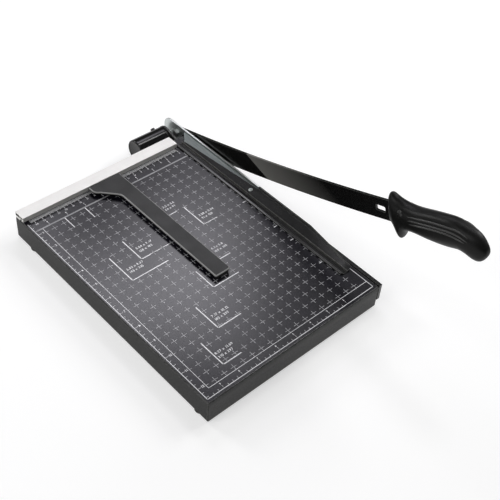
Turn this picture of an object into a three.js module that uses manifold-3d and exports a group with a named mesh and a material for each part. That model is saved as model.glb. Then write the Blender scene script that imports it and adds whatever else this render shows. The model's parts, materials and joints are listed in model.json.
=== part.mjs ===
// Guillotine paper cutter: a folded steel bed with a fence and a fixed knife, a hinged blade arm,
// a press bar on its own arm, and a gauge that slides along the fence. Lengths are in millimetres.
// X is 0 at the cutting line and grows to the right, Y is 0 just before the fence and grows to the back,
// and Z is 0 on the printed bed and grows upward. The last step stands the cutter on Z = 0, centred.
import * as THREE from 'three';
import { mergeVertices } from 'three/addons/utils/BufferGeometryUtils.js';
import Module from 'manifold-3d';

const wasm = await Module();
wasm.setup();

// Clearances shared by every piece
const FIT_GAP = 0.3;
const SIDE_GAP = 0.1;
const OVERRUN = 1;

// Bed: one sheet folded down on four sides, with its left and right skirts folded in again at the foot
const BED_WIDTH = 249.5;
const BED_LENGTH = 341.7;
const BED_HEIGHT = 29.5;
const BED_SHEET = 1.5;
const BED_FOLD = 1.1;
const BED_RETURN = 18;

// Fixed knife: a ground bar screwed to the right skirt, its top just proud of the bed
const KNIFE_THICKNESS = 4.5;
const KNIFE_DEPTH = 22.6;
const KNIFE_PROUD = 0.9;
const KNIFE_SCREW_COUNT = 4;
const KNIFE_SCREW_MARGIN = 34;
const KNIFE_SCREW_DROP = 11;
const KNIFE_SCREW_BITE = 3.2;

// Fence: an extruded aluminium rule with hollow cells and a slot for the gauge's tongue
const FENCE_DEPTH = 16.4;
const FENCE_HEIGHT = 8;
const FENCE_SETBACK = 1.3;
const FENCE_LEFT_INSET = 0.6;
const FENCE_RIGHT_INSET = 23.6;
const FENCE_WALL = 1.2;
const FENCE_SLOT_HEIGHT = 2.2;
const FENCE_SLOT_DEPTH = 7;
const FENCE_HOOK_DEPTH = 3;
const FENCE_HOOK_RISE = 1.6;
const FENCE_FLOOR = 3.6;
const FENCE_SCREW_COUNT = 3;
const FENCE_SCREW_MARGIN = 22;
const FENCE_SCREW_BITE = 3;

// Rubber feet pushed into the folded-in returns
const FOOT_RADIUS = 6.5;
const FOOT_SOLE_RADIUS = 6.2;
const FOOT_HEIGHT = 3;
const FOOT_STEM_RADIUS = 2.4;
const FOOT_BARB_RADIUS = 3.4;
const FOOT_BARB_HEIGHT = 2.4;
const FOOT_SIDE_INSET = 6.6;
const FOOT_FRONT_INSET = 18;
const FOOT_BACK_INSET = 29;

// Pan head screws used for the fence, the knife and the gauge
const SCREW_RADIUS = 1.5;
const SCREW_HEAD_RADIUS = 3;
const SCREW_HEAD_HEIGHT = 1.8;

// Pivot: the shaft's axis lies behind and below the back edge of the bed
const PIVOT_BEHIND_BED = 23.3;
const PIVOT_DROP = 14;
const SHAFT_RADIUS = 5;
const SHAFT_TAIL = 1.2;
const BUSH_WALL = 1.7;
const BRACKET_PLATE = 3;
const BRACKET_EAR_RADIUS = 16;
const BRACKET_EAR_OFFSET = 12;
const BRACKET_WIDTH = 48;
const BRACKET_TOP_DROP = 5;
const BRACKET_HEIGHT = 22;
const BRACKET_BOSS_RADIUS = 13.2;
const BRACKET_BOSS_LENGTH = 14;
const BRACKET_SCREW_RADIUS = 2.5;
const BRACKET_SCREW_HEAD_RADIUS = 4.2;
const BRACKET_SCREW_HEAD_HEIGHT = 3;
const BRACKET_SCREW_LIFT = 5;
const BRACKET_SCREW_MARGIN = 10;
const BRACKET_NUT_HEIGHT = 3.2;

// Spring housing: a black tube closed at its left end, slipped over the bracket's boss
const HOUSING_RADIUS = 15.8;
const HOUSING_LENGTH = 45.5;
const HOUSING_WALL = 2.3;
const HOUSING_EDGE = 2.5;
const HOUSING_SCREW_RADIUS = 1.8;
const HOUSING_SCREW_HEAD_RADIUS = 3;
const HOUSING_SCREW_HEAD_HEIGHT = 2.4;
const HOUSING_SCREW_BITE = 3.4;
const HOUSING_SCREW_INSET = 7;
const HOUSING_SCREW_TURN = 35;

// Balance spring coiled round the shaft inside the housing
const SPRING_WIRE = 2.2;
const SPRING_COIL_RADIUS = 9.4;
const SPRING_TURNS = 8;
const SPRING_END_GAP = 0.6;
const COLLAR_RADIUS = 9;
const COLLAR_LENGTH = 3;
const COLLAR_CAP_GAP = 1;

// Blade arm: a bowed flat bar with a bevelled lower edge, drawn level, pivot at its own origin
const BLADE_THICKNESS = 3.1;
const BLADE_WIDTH = 24.5;
const BLADE_REACH = 371.3;
const BLADE_BOW_REACH = 172;
const BLADE_BOW_RADIUS = 3100;
const BLADE_LIFT = 0.6;
const BLADE_BEVEL = 7;
const BLADE_EDGE = 0.6;
const BLADE_LUG_RADIUS = 13.5;
const BLADE_REST_ANGLE = 17.85;
const BLADE_TANG_WIDTH = 20;
const BLADE_TANG_LENGTH = 78;
const BLADE_TANG_RISE = 1.5;
const BLADE_STATIONS = 14;
const LATCH_HOLE_REACH = 358.2;
const LATCH_HOLE_LENGTH = 13;
const LATCH_HOLE_HEIGHT = 6.6;

// Washers and the lock nut on the right of the blade
const WASHER_RADIUS = 9.5;
const WASHER_THICKNESS = 1.2;
const NUT_RADIUS = 8.4;
const NUT_THICKNESS = 4.6;

// Handle: a moulded grip over the tang, with a horn above and a finger guard below its front end
const HANDLE_RIVET_REACH = 20.5;
const HANDLE_RIVET_RISE = 7.5;
const HANDLE_RIVET_RADIUS = 2.2;
const HANDLE_RIVET_HEAD_RADIUS = 3.6;
const HANDLE_RIVET_HEAD_HEIGHT = 1.4;
const HANDLE_LENGTH = 122;
const HANDLE_HALF_WIDTH = 12.6;
const HANDLE_HALF_HEIGHT = 15;

// Press bar: a folded strip with a rounded foot, a sloping web and a hemmed top edge
const PRESS_FOOT_LEFT = 25;
const PRESS_FOOT_WIDTH = 7.4;
const PRESS_STEP_WIDTH = 0.5;
const PRESS_STEP_RISE = 1.4;
const PRESS_SHEET = 1.2;
const PRESS_TOP = 8.5;
const PRESS_RIGHT = 1.5;
const PRESS_HEM_WIDTH = 1.7;
const PRESS_HEM_DEPTH = 3.8;
const PRESS_BEAD_RADIUS = 1.2;
const PRESS_BACK = 5;
const PRESS_LENGTH = 291;
const PRESS_TAPER_LENGTH = 74;
const PRESS_TOE_LENGTH = 16;
const PRESS_TOE_TOP = 2.2;
const PRESS_TOE_RIGHT = 5.2;
const PRESS_TOE_HEM_DEPTH = 1.6;
const PRESS_TOE_CHAMFER = 3;
const PRESS_TOE_CHAMFER_WIDTH = 8;
const PRESS_TOE_CHAMFER_LENGTH = 7;
const PRESS_ARM_OVERLAP = 129.3;
const PRESS_BEND_SHARE = 0.6;

// Press arm: a nickel-plated plate from the pivot to the press bar's web
const ARM_PLATE = 2.5;
const ARM_WEB = 1.8;
const ARM_EAR_RADIUS = 15.8;
const ARM_EAR_CORNER = 12;
const ARM_NECK_BACK = 6.3;
const ARM_NECK_BOTTOM = 1.6;
const ARM_WEB_REACH = 10.6;
const ARM_GUSSET_LENGTH = 14;
const ARM_GUSSET_BACK = 17;
const RIVET_RADIUS = 1.5;
const RIVET_HEAD_RADIUS = 2.6;
const RIVET_HEAD_HEIGHT = 1.2;
const RIVET_TAIL_HEIGHT = 0.6;
const RIVET_AHEAD = 119;
const RIVET_INSET = 10.3;
const STUD_HEAD_RADIUS = 5;
const STUD_HEAD_HEIGHT = 4;
const STUD_RADIUS = 2.6;
const STUD_FORWARD = 9.5;
const STUD_RISE = 9.5;

// Gauge: a flat top plate over a narrower slider whose hooked tongue runs under the fence
const GAUGE_RIGHT = 118.3;
const GAUGE_ARM_WIDTH = 22;
const GAUGE_LENGTH = 203.5;
const GAUGE_HEAD_WIDTH = 45.2;
const GAUGE_HEAD_SIDE = 14;
const GAUGE_HEAD_FRONT = 31;
const GAUGE_HEAD_CORNER = 6;
const GAUGE_SHOULDER = 8;
const GAUGE_TOP = 7;
const GAUGE_PLATE = 2;
const GAUGE_INSET = 3;
const GAUGE_TONGUE = 1.4;
const GAUGE_SCREW_SHARES = [0.12, 0.82];

// Facets on round work
const ROUND_SIDES = 24;
const FINE_SIDES = 32;
const SMALL_SIDES = 12;
const HEX_SIDES = 6;
const GRIP_SIDES = 20;
const ARC_STEPS = 6;
const COIL_STEPS = 12;
const WIRE_SIDES = 6;

// Places worked out from the sizes above
const bedRight = -KNIFE_THICKNESS;
const bedLeft = bedRight - BED_WIDTH;
const bedBack = FENCE_SETBACK + FENCE_DEPTH;
const bedFront = bedBack - BED_LENGTH;
const fenceLeft = bedLeft + FENCE_LEFT_INSET;
const fenceRight = bedRight - FENCE_RIGHT_INSET;
const pivotY = bedBack + PIVOT_BEHIND_BED;
const pivotZ = -PIVOT_DROP;
const boreRadius = SHAFT_RADIUS + FIT_GAP;
const bushRadius = boreRadius + BUSH_WALL;
const armRight = -PRESS_RIGHT;
const armLeft = armRight - ARM_PLATE;
const earRight = -BRACKET_EAR_OFFSET;
const earLeft = earRight - BRACKET_PLATE;
const bossLeft = earLeft - BRACKET_BOSS_LENGTH;
const housingRight = earLeft - BRACKET_PLATE;
const housingLeft = housingRight - HOUSING_LENGTH;
const collarLeft = housingLeft + HOUSING_WALL + COLLAR_CAP_GAP;
const bladeLeft = FIT_GAP;
const bladeRight = bladeLeft + BLADE_THICKNESS;
const bladeMiddle = (bladeLeft + bladeRight) / 2;
const washerRight = bladeRight + WASHER_THICKNESS;
const nutRight = washerRight + NUT_THICKNESS;

const steelPaint = { color: 0x1c1c1b, roughness: 0.35, metalness: 0.1 };
const bedPaint = { color: 0x2b2b30, roughness: 0.3, metalness: 0.1 };
const toolSteel = { color: 0x151514, roughness: 0.15, metalness: 0.6 };
const anodised = { color: 0xd9d9d6, roughness: 0.35, metalness: 0.9 };
const nickel = { color: 0x9aa3a1, roughness: 0.22, metalness: 1 };
const zinc = { color: 0xa7aaac, roughness: 0.35, metalness: 1 };
const blackPlastic = { color: 0x1b1b1a, roughness: 0.4, metalness: 0 };
const gaugePlastic = { color: 0x333333, roughness: 0.5, metalness: 0 };
const rubber = { color: 0x161616, roughness: 0.9, metalness: 0 };
const bronze = { color: 0x9a7440, roughness: 0.4, metalness: 1 };

// Closed solids for cutting and joining
function toSolid(geometry) {
  const bare = geometry.clone();
  bare.deleteAttribute('normal');
  bare.deleteAttribute('uv');
  const merged = mergeVertices(bare);
  const corners = merged.index.array;
  const kept = [];
  for (let i = 0; i < corners.length; i += 3) {
    const [a, b, c] = [corners[i], corners[i + 1], corners[i + 2]];
    if (a !== b && b !== c && c !== a) kept.push(a, b, c);
  }
  const vertProperties = new Float32Array(merged.attributes.position.array);
  return new wasm.Manifold(new wasm.Mesh({ numProp: 3, vertProperties, triVerts: new Uint32Array(kept) }));
}

function fromSolid(solid) {
  const mesh = solid.getMesh();
  const geometry = new THREE.BufferGeometry();
  geometry.setAttribute('position', new THREE.BufferAttribute(new Float32Array(mesh.vertProperties), 3));
  geometry.setIndex(new THREE.BufferAttribute(new Uint32Array(mesh.triVerts), 1));
  geometry.computeVertexNormals();
  return geometry;
}

function combine(bodies, cuts = []) {
  let solid = toSolid(bodies[0]);
  for (const body of bodies.slice(1)) solid = solid.add(toSolid(body));
  for (const cut of cuts) solid = solid.subtract(toSolid(cut));
  return fromSolid(solid);
}

function piece(name, geometry, finish) {
  const mesh = new THREE.Mesh(geometry, new THREE.MeshStandardMaterial(finish));
  mesh.name = name;
  return mesh;
}

function block(x0, x1, y0, y1, z0, z1) {
  const box = new THREE.BoxGeometry(x1 - x0, y1 - y0, z1 - z0);
  return box.translate((x0 + x1) / 2, (y0 + y1) / 2, (z0 + z1) / 2);
}

// Turned work: a profile of [radius, height] pairs spun about X or Z, its foot at the given point
function turned(profile, sides = ROUND_SIDES) {
  const points = profile.map(([radius, height]) => new THREE.Vector2(radius, height));
  return new THREE.LatheGeometry(points, sides);
}

function alongX(geometry, x, y, z) {
  return geometry.rotateZ(-Math.PI / 2).translate(x, y, z);
}

function alongZ(geometry, x, y, z) {
  return geometry.rotateX(Math.PI / 2).translate(x, y, z);
}

function rodProfile(radius, length) {
  return [[0, 0], [radius, 0], [radius, length], [0, length]];
}

function ringProfile(inner, outer, length) {
  return [[inner, 0], [outer, 0], [outer, length], [inner, length], [inner, 0]];
}

function headedProfile(radius, length, headRadius, headHeight) {
  return [[0, 0], [headRadius, 0], [headRadius, headHeight], [radius, headHeight],
    [radius, headHeight + length], [0, headHeight + length]];
}

function screwProfile(bite) {
  return headedProfile(SCREW_RADIUS, bite, SCREW_HEAD_RADIUS, SCREW_HEAD_HEIGHT);
}

// Holes for screws and pins, each starting one overrun before the face: right through a wall, or blind
function throughHole(radius, wall) {
  return turned(rodProfile(radius + FIT_GAP, wall + 2 * OVERRUN), SMALL_SIDES);
}

function blindHole(radius, bite) {
  return turned(rodProfile(radius + FIT_GAP, bite + FIT_GAP + OVERRUN), SMALL_SIDES);
}

// Hexagon work, standing on its own foot: a nut with a round bore, and a bolt with a round shank
function hexNut(bore, radius, height) {
  const hole = turned(rodProfile(bore, height + 2 * OVERRUN)).translate(0, -OVERRUN, 0);
  return combine([turned(rodProfile(radius, height), HEX_SIDES)], [hole]);
}

function hexBolt(radius, length, headRadius, headHeight) {
  const shank = turned(rodProfile(radius, headHeight + length), SMALL_SIDES);
  return combine([turned(rodProfile(headRadius, headHeight), HEX_SIDES), shank]);
}

// Outlines drawn in two axes and pulled along the third
function outline(points) {
  return new THREE.Shape(points.map(([a, b]) => new THREE.Vector2(a, b)));
}

function pulled(shape, length) {
  const options = { depth: length, bevelEnabled: false, curveSegments: ARC_STEPS };
  return new THREE.ExtrudeGeometry(shape, options);
}

function pulledAlongX(shape, x0, x1) {
  const turn = new THREE.Matrix4().makeBasis(
    new THREE.Vector3(0, 1, 0), new THREE.Vector3(0, 0, 1), new THREE.Vector3(1, 0, 0));
  return pulled(shape, x1 - x0).applyMatrix4(turn).translate(x0, 0, 0);
}

function pulledToFront(shape, yBack, length) {
  const turn = new THREE.Matrix4().makeBasis(
    new THREE.Vector3(1, 0, 0), new THREE.Vector3(0, 0, 1), new THREE.Vector3(0, -1, 0));
  return pulled(shape, length).applyMatrix4(turn).translate(0, yBack, 0);
}

function pulledUp(shape, z0, z1) {
  return pulled(shape, z1 - z0).translate(0, 0, z0);
}

// A closed skin through rings of points with equal corner counts, convex unless the cap faces are given
function skinned(rings, capFaces = null) {
  const count = rings[0].length;
  const positions = rings.flat().flatMap((p) => [p.x, p.y, p.z]);
  const faces = [];
  for (let r = 0; r < rings.length - 1; r += 1) {
    for (let i = 0; i < count; i += 1) {
      const next = (i + 1) % count;
      const [a, b, c, d] = [r * count + i, r * count + next, (r + 1) * count + next, (r + 1) * count + i];
      faces.push(a, b, c, a, c, d);
    }
  }
  const last = (rings.length - 1) * count;
  const fan = Array.from({ length: count - 2 }, (_, i) => [0, i + 1, i + 2]);
  for (const [a, b, c] of capFaces ?? fan) {
    faces.push(a, c, b, last + a, last + b, last + c);
  }
  const geometry = new THREE.BufferGeometry();
  geometry.setAttribute('position', new THREE.Float32BufferAttribute(positions, 3));
  geometry.setIndex(enclosed(positions, faces) < 0 ? faces.reverse() : faces);
  geometry.computeVertexNormals();
  return geometry;
}

// Signed space inside a skin, negative when its faces point inward
function enclosed(positions, faces) {
  const at = (i) => new THREE.Vector3().fromArray(positions, 3 * i);
  let sum = 0;
  for (let i = 0; i < faces.length; i += 3) {
    sum += at(faces[i]).dot(at(faces[i + 1]).cross(at(faces[i + 2])));
  }
  return sum;
}

// A line of points and the same line one sheet thickness below it, as one closed outline
function sheetOutline(line, thickness) {
  const points = line.map(([a, b]) => new THREE.Vector2(a, b));
  const normals = points.slice(1).map((p, i) => {
    const along = p.clone().sub(points[i]).normalize();
    return new THREE.Vector2(along.y, -along.x);
  });
  const below = points.map((p, i) => {
    const before = normals[Math.max(i - 1, 0)];
    const after = normals[Math.min(i, normals.length - 1)];
    const mitre = before.clone().add(after);
    return p.clone().add(mitre.multiplyScalar(2 * thickness / mitre.lengthSq()));
  });
  return new THREE.Shape([...points, ...below.reverse()].reverse());
}

// Evenly spaced places between two ends
function spread(from, to, count) {
  return Array.from({ length: count }, (_, i) => from + (to - from) * i / (count - 1));
}

function footPlaces() {
  const sides = { left: bedLeft + FOOT_SIDE_INSET, right: bedRight - FOOT_SIDE_INSET };
  const ends = { front: bedFront + FOOT_FRONT_INSET, back: bedBack - FOOT_BACK_INSET };
  const places = [];
  for (const [end, y] of Object.entries(ends)) {
    for (const [side, x] of Object.entries(sides)) places.push({ name: `foot_${end}_${side}`, x, y });
  }
  return places;
}

function fenceScrewPlaces() {
  const y = FENCE_SETBACK + (FENCE_SLOT_DEPTH + FENCE_DEPTH) / 2;
  const places = spread(fenceLeft + FENCE_SCREW_MARGIN, fenceRight - FENCE_SCREW_MARGIN, FENCE_SCREW_COUNT);
  return places.map((x) => ({ x, y }));
}

function knifeScrewPlaces() {
  return spread(bedFront + KNIFE_SCREW_MARGIN, bedBack - KNIFE_SCREW_MARGIN, KNIFE_SCREW_COUNT);
}

function bracketScrewPlaces() {
  const right = earRight - BRACKET_PLATE - BRACKET_SCREW_MARGIN;
  const left = earRight - BRACKET_WIDTH + BRACKET_SCREW_MARGIN;
  const z = -BRACKET_TOP_DROP - BRACKET_HEIGHT + BRACKET_SCREW_LIFT;
  return [left, right].map((x) => ({ x, z }));
}

// Base: the bed, its knife, fence, feet and screws
function bedTray() {
  const corner = (x, y, z) => new THREE.Vector3(x, y, z);
  const ring = (inset, z) => [
    corner(bedLeft + inset, bedFront + inset, z), corner(bedRight - inset, bedFront + inset, z),
    corner(bedRight - inset, bedBack - inset, z), corner(bedLeft + inset, bedBack - inset, z)];
  const outside = skinned([ring(0, -BED_HEIGHT), ring(0, -BED_FOLD), ring(BED_FOLD, 0)]);
  const insideFront = bedFront + BED_SHEET;
  const insideBack = bedBack - BED_SHEET;
  const hollow = block(bedLeft + BED_SHEET, bedRight - BED_SHEET, insideFront, insideBack,
    -BED_HEIGHT + BED_SHEET, -BED_SHEET);
  const mouth = block(bedLeft + BED_RETURN, bedRight - BED_RETURN, insideFront, insideBack,
    -BED_HEIGHT - OVERRUN, -BED_SHEET - OVERRUN);
  const cuts = [hollow, mouth];
  for (const place of footPlaces()) {
    const hole = throughHole(FOOT_STEM_RADIUS, BED_SHEET);
    cuts.push(alongZ(hole, place.x, place.y, -BED_HEIGHT - OVERRUN));
  }
  for (const place of fenceScrewPlaces()) {
    cuts.push(alongZ(throughHole(SCREW_RADIUS, BED_SHEET), place.x, place.y, -BED_SHEET - OVERRUN));
  }
  for (const y of knifeScrewPlaces()) {
    const hole = throughHole(SCREW_RADIUS, BED_SHEET);
    cuts.push(alongX(hole, bedRight - BED_SHEET - OVERRUN, y, -KNIFE_SCREW_DROP));
  }
  for (const place of bracketScrewPlaces()) {
    const hole = throughHole(BRACKET_SCREW_RADIUS, BED_SHEET);
    cuts.push(hole.translate(place.x, bedBack - BED_SHEET - OVERRUN, place.z));
  }
  return piece('base_tray', combine([outside], cuts), bedPaint);
}

function fixedKnife() {
  const bar = block(-KNIFE_THICKNESS, 0, bedFront, bedBack, KNIFE_PROUD - KNIFE_DEPTH, KNIFE_PROUD);
  const cuts = knifeScrewPlaces().map((y) => {
    const hole = blindHole(SCREW_RADIUS, KNIFE_SCREW_BITE);
    return alongX(hole, -KNIFE_THICKNESS - OVERRUN, y, -KNIFE_SCREW_DROP);
  });
  return piece('lower_knife', combine([bar], cuts), toolSteel);
}

function knifeScrews() {
  const head = bedRight - BED_SHEET - SCREW_HEAD_HEIGHT;
  return knifeScrewPlaces().map((y, i) => {
    const screw = turned(screwProfile(BED_SHEET + KNIFE_SCREW_BITE), SMALL_SIDES);
    return piece(`knife_screw_${i + 1}`, alongX(screw, head, y, -KNIFE_SCREW_DROP), zinc);
  });
}

function fence() {
  const front = FENCE_SETBACK;
  const hook = front + FENCE_SLOT_DEPTH - FENCE_HOOK_DEPTH;
  const deep = front + FENCE_SLOT_DEPTH;
  const section = outline([
    [front, FENCE_SLOT_HEIGHT], [hook, FENCE_SLOT_HEIGHT], [hook, FENCE_SLOT_HEIGHT + FENCE_HOOK_RISE],
    [deep, FENCE_SLOT_HEIGHT + FENCE_HOOK_RISE], [deep, 0], [bedBack, 0],
    [bedBack, FENCE_HEIGHT], [front, FENCE_HEIGHT]]);
  const cell = (y0, y1, z0) => {
    const top = FENCE_HEIGHT - FENCE_WALL;
    section.holes.push(outline([[y0, z0], [y0, top], [y1, top], [y1, z0]]));
  };
  cell(front + FENCE_WALL, deep - FENCE_WALL / 2, FENCE_SLOT_HEIGHT + FENCE_HOOK_RISE + FENCE_WALL);
  cell(deep + FENCE_WALL / 2, bedBack - FENCE_WALL, FENCE_FLOOR);
  const cuts = fenceScrewPlaces().map((place) => {
    return alongZ(blindHole(SCREW_RADIUS, FENCE_SCREW_BITE), place.x, place.y, -OVERRUN);
  });
  const rule = pulledAlongX(section, fenceLeft, fenceRight);
  return piece('fence_rule', combine([rule], cuts), anodised);
}

function fenceScrews() {
  return fenceScrewPlaces().map((place, i) => {
    const screw = turned(screwProfile(BED_SHEET + FENCE_SCREW_BITE), SMALL_SIDES);
    const foot = -BED_SHEET - SCREW_HEAD_HEIGHT;
    return piece(`fence_screw_${i + 1}`, alongZ(screw, place.x, place.y, foot), zinc);
  });
}

function feet() {
  const seat = FOOT_HEIGHT;
  const barb = seat + BED_SHEET + FIT_GAP;
  const profile = [[0, 0], [FOOT_SOLE_RADIUS, 0], [FOOT_RADIUS, seat], [FOOT_STEM_RADIUS, seat],
    [FOOT_STEM_RADIUS, barb], [FOOT_BARB_RADIUS, barb], [FOOT_STEM_RADIUS, barb + FOOT_BARB_HEIGHT],
    [0, barb + FOOT_BARB_HEIGHT]];
  return footPlaces().map((place) => {
    const foot = alongZ(turned(profile), place.x, place.y, -BED_HEIGHT - FOOT_HEIGHT);
    return piece(place.name, foot, rubber);
  });
}

// Pivot: the bracket bolted to the back skirt, the bush, the spring and its housing
function pivotBracket() {
  const top = -BRACKET_TOP_DROP;
  const bottom = top - BRACKET_HEIGHT;
  const plateBack = bedBack + BRACKET_PLATE;
  const plate = block(earRight - BRACKET_WIDTH, earRight, bedBack, plateBack, bottom, top);
  const ear = new THREE.Shape();
  ear.moveTo(bedBack, bottom);
  ear.lineTo(pivotY, pivotZ - BRACKET_EAR_RADIUS);
  ear.absarc(pivotY, pivotZ, BRACKET_EAR_RADIUS, -Math.PI / 2, Math.PI / 2, false);
  ear.lineTo(bedBack, top);
  const cheek = pulledAlongX(ear, earLeft, earRight);
  const boss = turned(rodProfile(BRACKET_BOSS_RADIUS, BRACKET_BOSS_LENGTH + BRACKET_PLATE / 2), FINE_SIDES);
  const bore = turned(rodProfile(bushRadius + SIDE_GAP, BRACKET_BOSS_LENGTH + BRACKET_PLATE + 2 * OVERRUN));
  const cuts = [alongX(bore, bossLeft - OVERRUN, pivotY, pivotZ)];
  for (const place of bracketScrewPlaces()) {
    const hole = throughHole(BRACKET_SCREW_RADIUS, BRACKET_PLATE);
    cuts.push(hole.translate(place.x, bedBack - OVERRUN, place.z));
  }
  const tapped = rodProfile(HOUSING_SCREW_RADIUS + FIT_GAP, HOUSING_SCREW_BITE + HOUSING_WALL + OVERRUN);
  cuts.push(housingScrewAt(tapped, HOUSING_RADIUS - HOUSING_WALL - HOUSING_SCREW_BITE - FIT_GAP));
  const body = [plate, cheek, alongX(boss, bossLeft, pivotY, pivotZ)];
  return piece('pivot_bracket', combine(body, cuts), steelPaint);
}

function bracketScrews() {
  const pieces = [];
  bracketScrewPlaces().forEach((place, i) => {
    const bite = BRACKET_PLATE + BED_SHEET + BRACKET_NUT_HEIGHT;
    const back = bedBack + BRACKET_PLATE + BRACKET_SCREW_HEAD_HEIGHT;
    const screw = hexBolt(BRACKET_SCREW_RADIUS, bite, BRACKET_SCREW_HEAD_RADIUS, BRACKET_SCREW_HEAD_HEIGHT);
    screw.rotateX(Math.PI).translate(place.x, back, place.z);
    const nut = hexNut(BRACKET_SCREW_RADIUS + FIT_GAP, BRACKET_SCREW_HEAD_RADIUS, BRACKET_NUT_HEIGHT);
    nut.translate(place.x, bedBack - BED_SHEET - BRACKET_NUT_HEIGHT, place.z);
    pieces.push(piece(`bracket_screw_${i + 1}`, screw, zinc), piece(`bracket_nut_${i + 1}`, nut, zinc));
  });
  return pieces;
}

function shaftBush() {
  const ring = ringProfile(boreRadius, bushRadius, BRACKET_BOSS_LENGTH + BRACKET_PLATE);
  return piece('shaft_bush', alongX(turned(ring), bossLeft, pivotY, pivotZ), bronze);
}

function spacerSleeve() {
  const ring = ringProfile(boreRadius, bushRadius, armLeft - earRight - 2 * SIDE_GAP);
  return piece('spacer_sleeve', alongX(turned(ring), earRight + SIDE_GAP, pivotY, pivotZ), zinc);
}

// A radial piece or cut on the housing's upper back, starting at a given distance from the axis
function housingScrewAt(profile, start) {
  const geometry = turned(profile, SMALL_SIDES).translate(0, start, 0);
  geometry.rotateX(THREE.MathUtils.degToRad(HOUSING_SCREW_TURN));
  return geometry.translate(housingRight - HOUSING_SCREW_INSET, pivotY, pivotZ);
}

function springHousing() {
  const inner = HOUSING_RADIUS - HOUSING_WALL;
  const profile = [[0, 0], [HOUSING_RADIUS - HOUSING_EDGE, 0], [HOUSING_RADIUS, HOUSING_EDGE],
    [HOUSING_RADIUS, HOUSING_LENGTH], [inner, HOUSING_LENGTH], [inner, HOUSING_WALL], [0, HOUSING_WALL]];
  const tube = alongX(turned(profile, FINE_SIDES), housingLeft, pivotY, pivotZ);
  const hole = housingScrewAt(rodProfile(HOUSING_SCREW_RADIUS + FIT_GAP, HOUSING_WALL + 2 * OVERRUN),
    inner - OVERRUN);
  return piece('spring_housing', combine([tube], [hole]), blackPlastic);
}

function housingScrew() {
  const seat = HOUSING_RADIUS + HOUSING_SCREW_HEAD_HEIGHT;
  const profile = headedProfile(HOUSING_SCREW_RADIUS, HOUSING_WALL + HOUSING_SCREW_BITE,
    HOUSING_SCREW_HEAD_RADIUS, HOUSING_SCREW_HEAD_HEIGHT);
  const inward = profile.map(([radius, height]) => [radius, -height]).reverse();
  return piece('housing_screw', housingScrewAt(inward, seat), steelPaint);
}

// One unbroken wire, its turns spaced evenly between the collar and the boss
function balanceSpring() {
  const left = collarLeft + COLLAR_LENGTH + SPRING_END_GAP + SPRING_WIRE / 2;
  const right = bossLeft - SPRING_END_GAP - SPRING_WIRE / 2;
  const lead = (right - left) / (2 * Math.PI * SPRING_TURNS);
  const centres = [];
  const rings = [];
  for (let i = 0; i <= SPRING_TURNS * COIL_STEPS; i += 1) {
    const turn = 2 * Math.PI * i / COIL_STEPS;
    const out = new THREE.Vector3(0, Math.cos(turn), Math.sin(turn));
    const along = new THREE.Vector3(lead / SPRING_COIL_RADIUS, -out.z, out.y).normalize();
    const side = new THREE.Vector3().crossVectors(along, out);
    const centre = new THREE.Vector3(left + lead * turn, pivotY, pivotZ);
    centre.addScaledVector(out, SPRING_COIL_RADIUS);
    centres.push(centre);
    rings.push(Array.from({ length: WIRE_SIDES }, (_, k) => {
      const angle = 2 * Math.PI * k / WIRE_SIDES;
      return centre.clone().addScaledVector(out, SPRING_WIRE / 2 * Math.cos(angle))
        .addScaledVector(side, SPRING_WIRE / 2 * Math.sin(angle));
    }));
  }
  printLeastGap('balance spring', centres, COIL_STEPS / 2, SPRING_WIRE);
  return piece('balance_spring', skinned(rings), zinc);
}

// Least gap of a wire to itself, measured between points at least half a turn apart
function printLeastGap(name, centres, apart, wire) {
  let least = Infinity;
  centres.forEach((centre, i) => {
    for (const other of centres.slice(i + apart)) least = Math.min(least, centre.distanceTo(other));
  });
  console.log(`${name}: least gap ${(least - wire).toFixed(2)}`);
}

// Blade group: drawn level with the pivot at its origin, then tilted up as a whole
function bowAt(reach) {
  return BLADE_LIFT + ((reach - BLADE_BOW_REACH) ** 2 - BLADE_BOW_REACH ** 2) / (2 * BLADE_BOW_RADIUS);
}

function blade() {
  const half = BLADE_WIDTH / 2;
  const section = (reach) => {
    const middle = bowAt(reach);
    const corners = [[bladeLeft, half], [bladeRight, half], [bladeRight, BLADE_BEVEL - half],
      [bladeLeft + BLADE_EDGE, -half], [bladeLeft, -half]];
    return corners.map(([x, rise]) => new THREE.Vector3(x, -reach, middle + rise));
  };
  const bar = skinned(spread(0, BLADE_REACH, BLADE_STATIONS).map(section));
  const lug = alongX(turned(rodProfile(BLADE_LUG_RADIUS, BLADE_THICKNESS), FINE_SIDES), bladeLeft, 0, 0);
  const tangMiddle = bowAt(BLADE_REACH) + BLADE_TANG_RISE;
  const tang = block(bladeLeft, bladeRight, -BLADE_REACH - BLADE_TANG_LENGTH, -BLADE_REACH + OVERRUN,
    tangMiddle - BLADE_TANG_WIDTH / 2, tangMiddle + BLADE_TANG_WIDTH / 2);
  const bore = turned(rodProfile(boreRadius, BLADE_THICKNESS + 2 * OVERRUN));
  const latchMiddle = bowAt(LATCH_HOLE_REACH);
  const latch = block(bladeLeft - OVERRUN, bladeRight + OVERRUN,
    -LATCH_HOLE_REACH - LATCH_HOLE_LENGTH / 2, -LATCH_HOLE_REACH + LATCH_HOLE_LENGTH / 2,
    latchMiddle - LATCH_HOLE_HEIGHT / 2, latchMiddle + LATCH_HOLE_HEIGHT / 2);
  const rivetHole = throughHole(HANDLE_RIVET_RADIUS, BLADE_THICKNESS);
  const cuts = [alongX(bore, bladeLeft - OVERRUN, 0, 0), latch,
    alongX(rivetHole, bladeLeft - OVERRUN, -BLADE_REACH - HANDLE_RIVET_REACH,
      bowAt(BLADE_REACH) + HANDLE_RIVET_RISE)];
  return piece('blade_arm', combine([bar, lug, tang], cuts), toolSteel);
}

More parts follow.
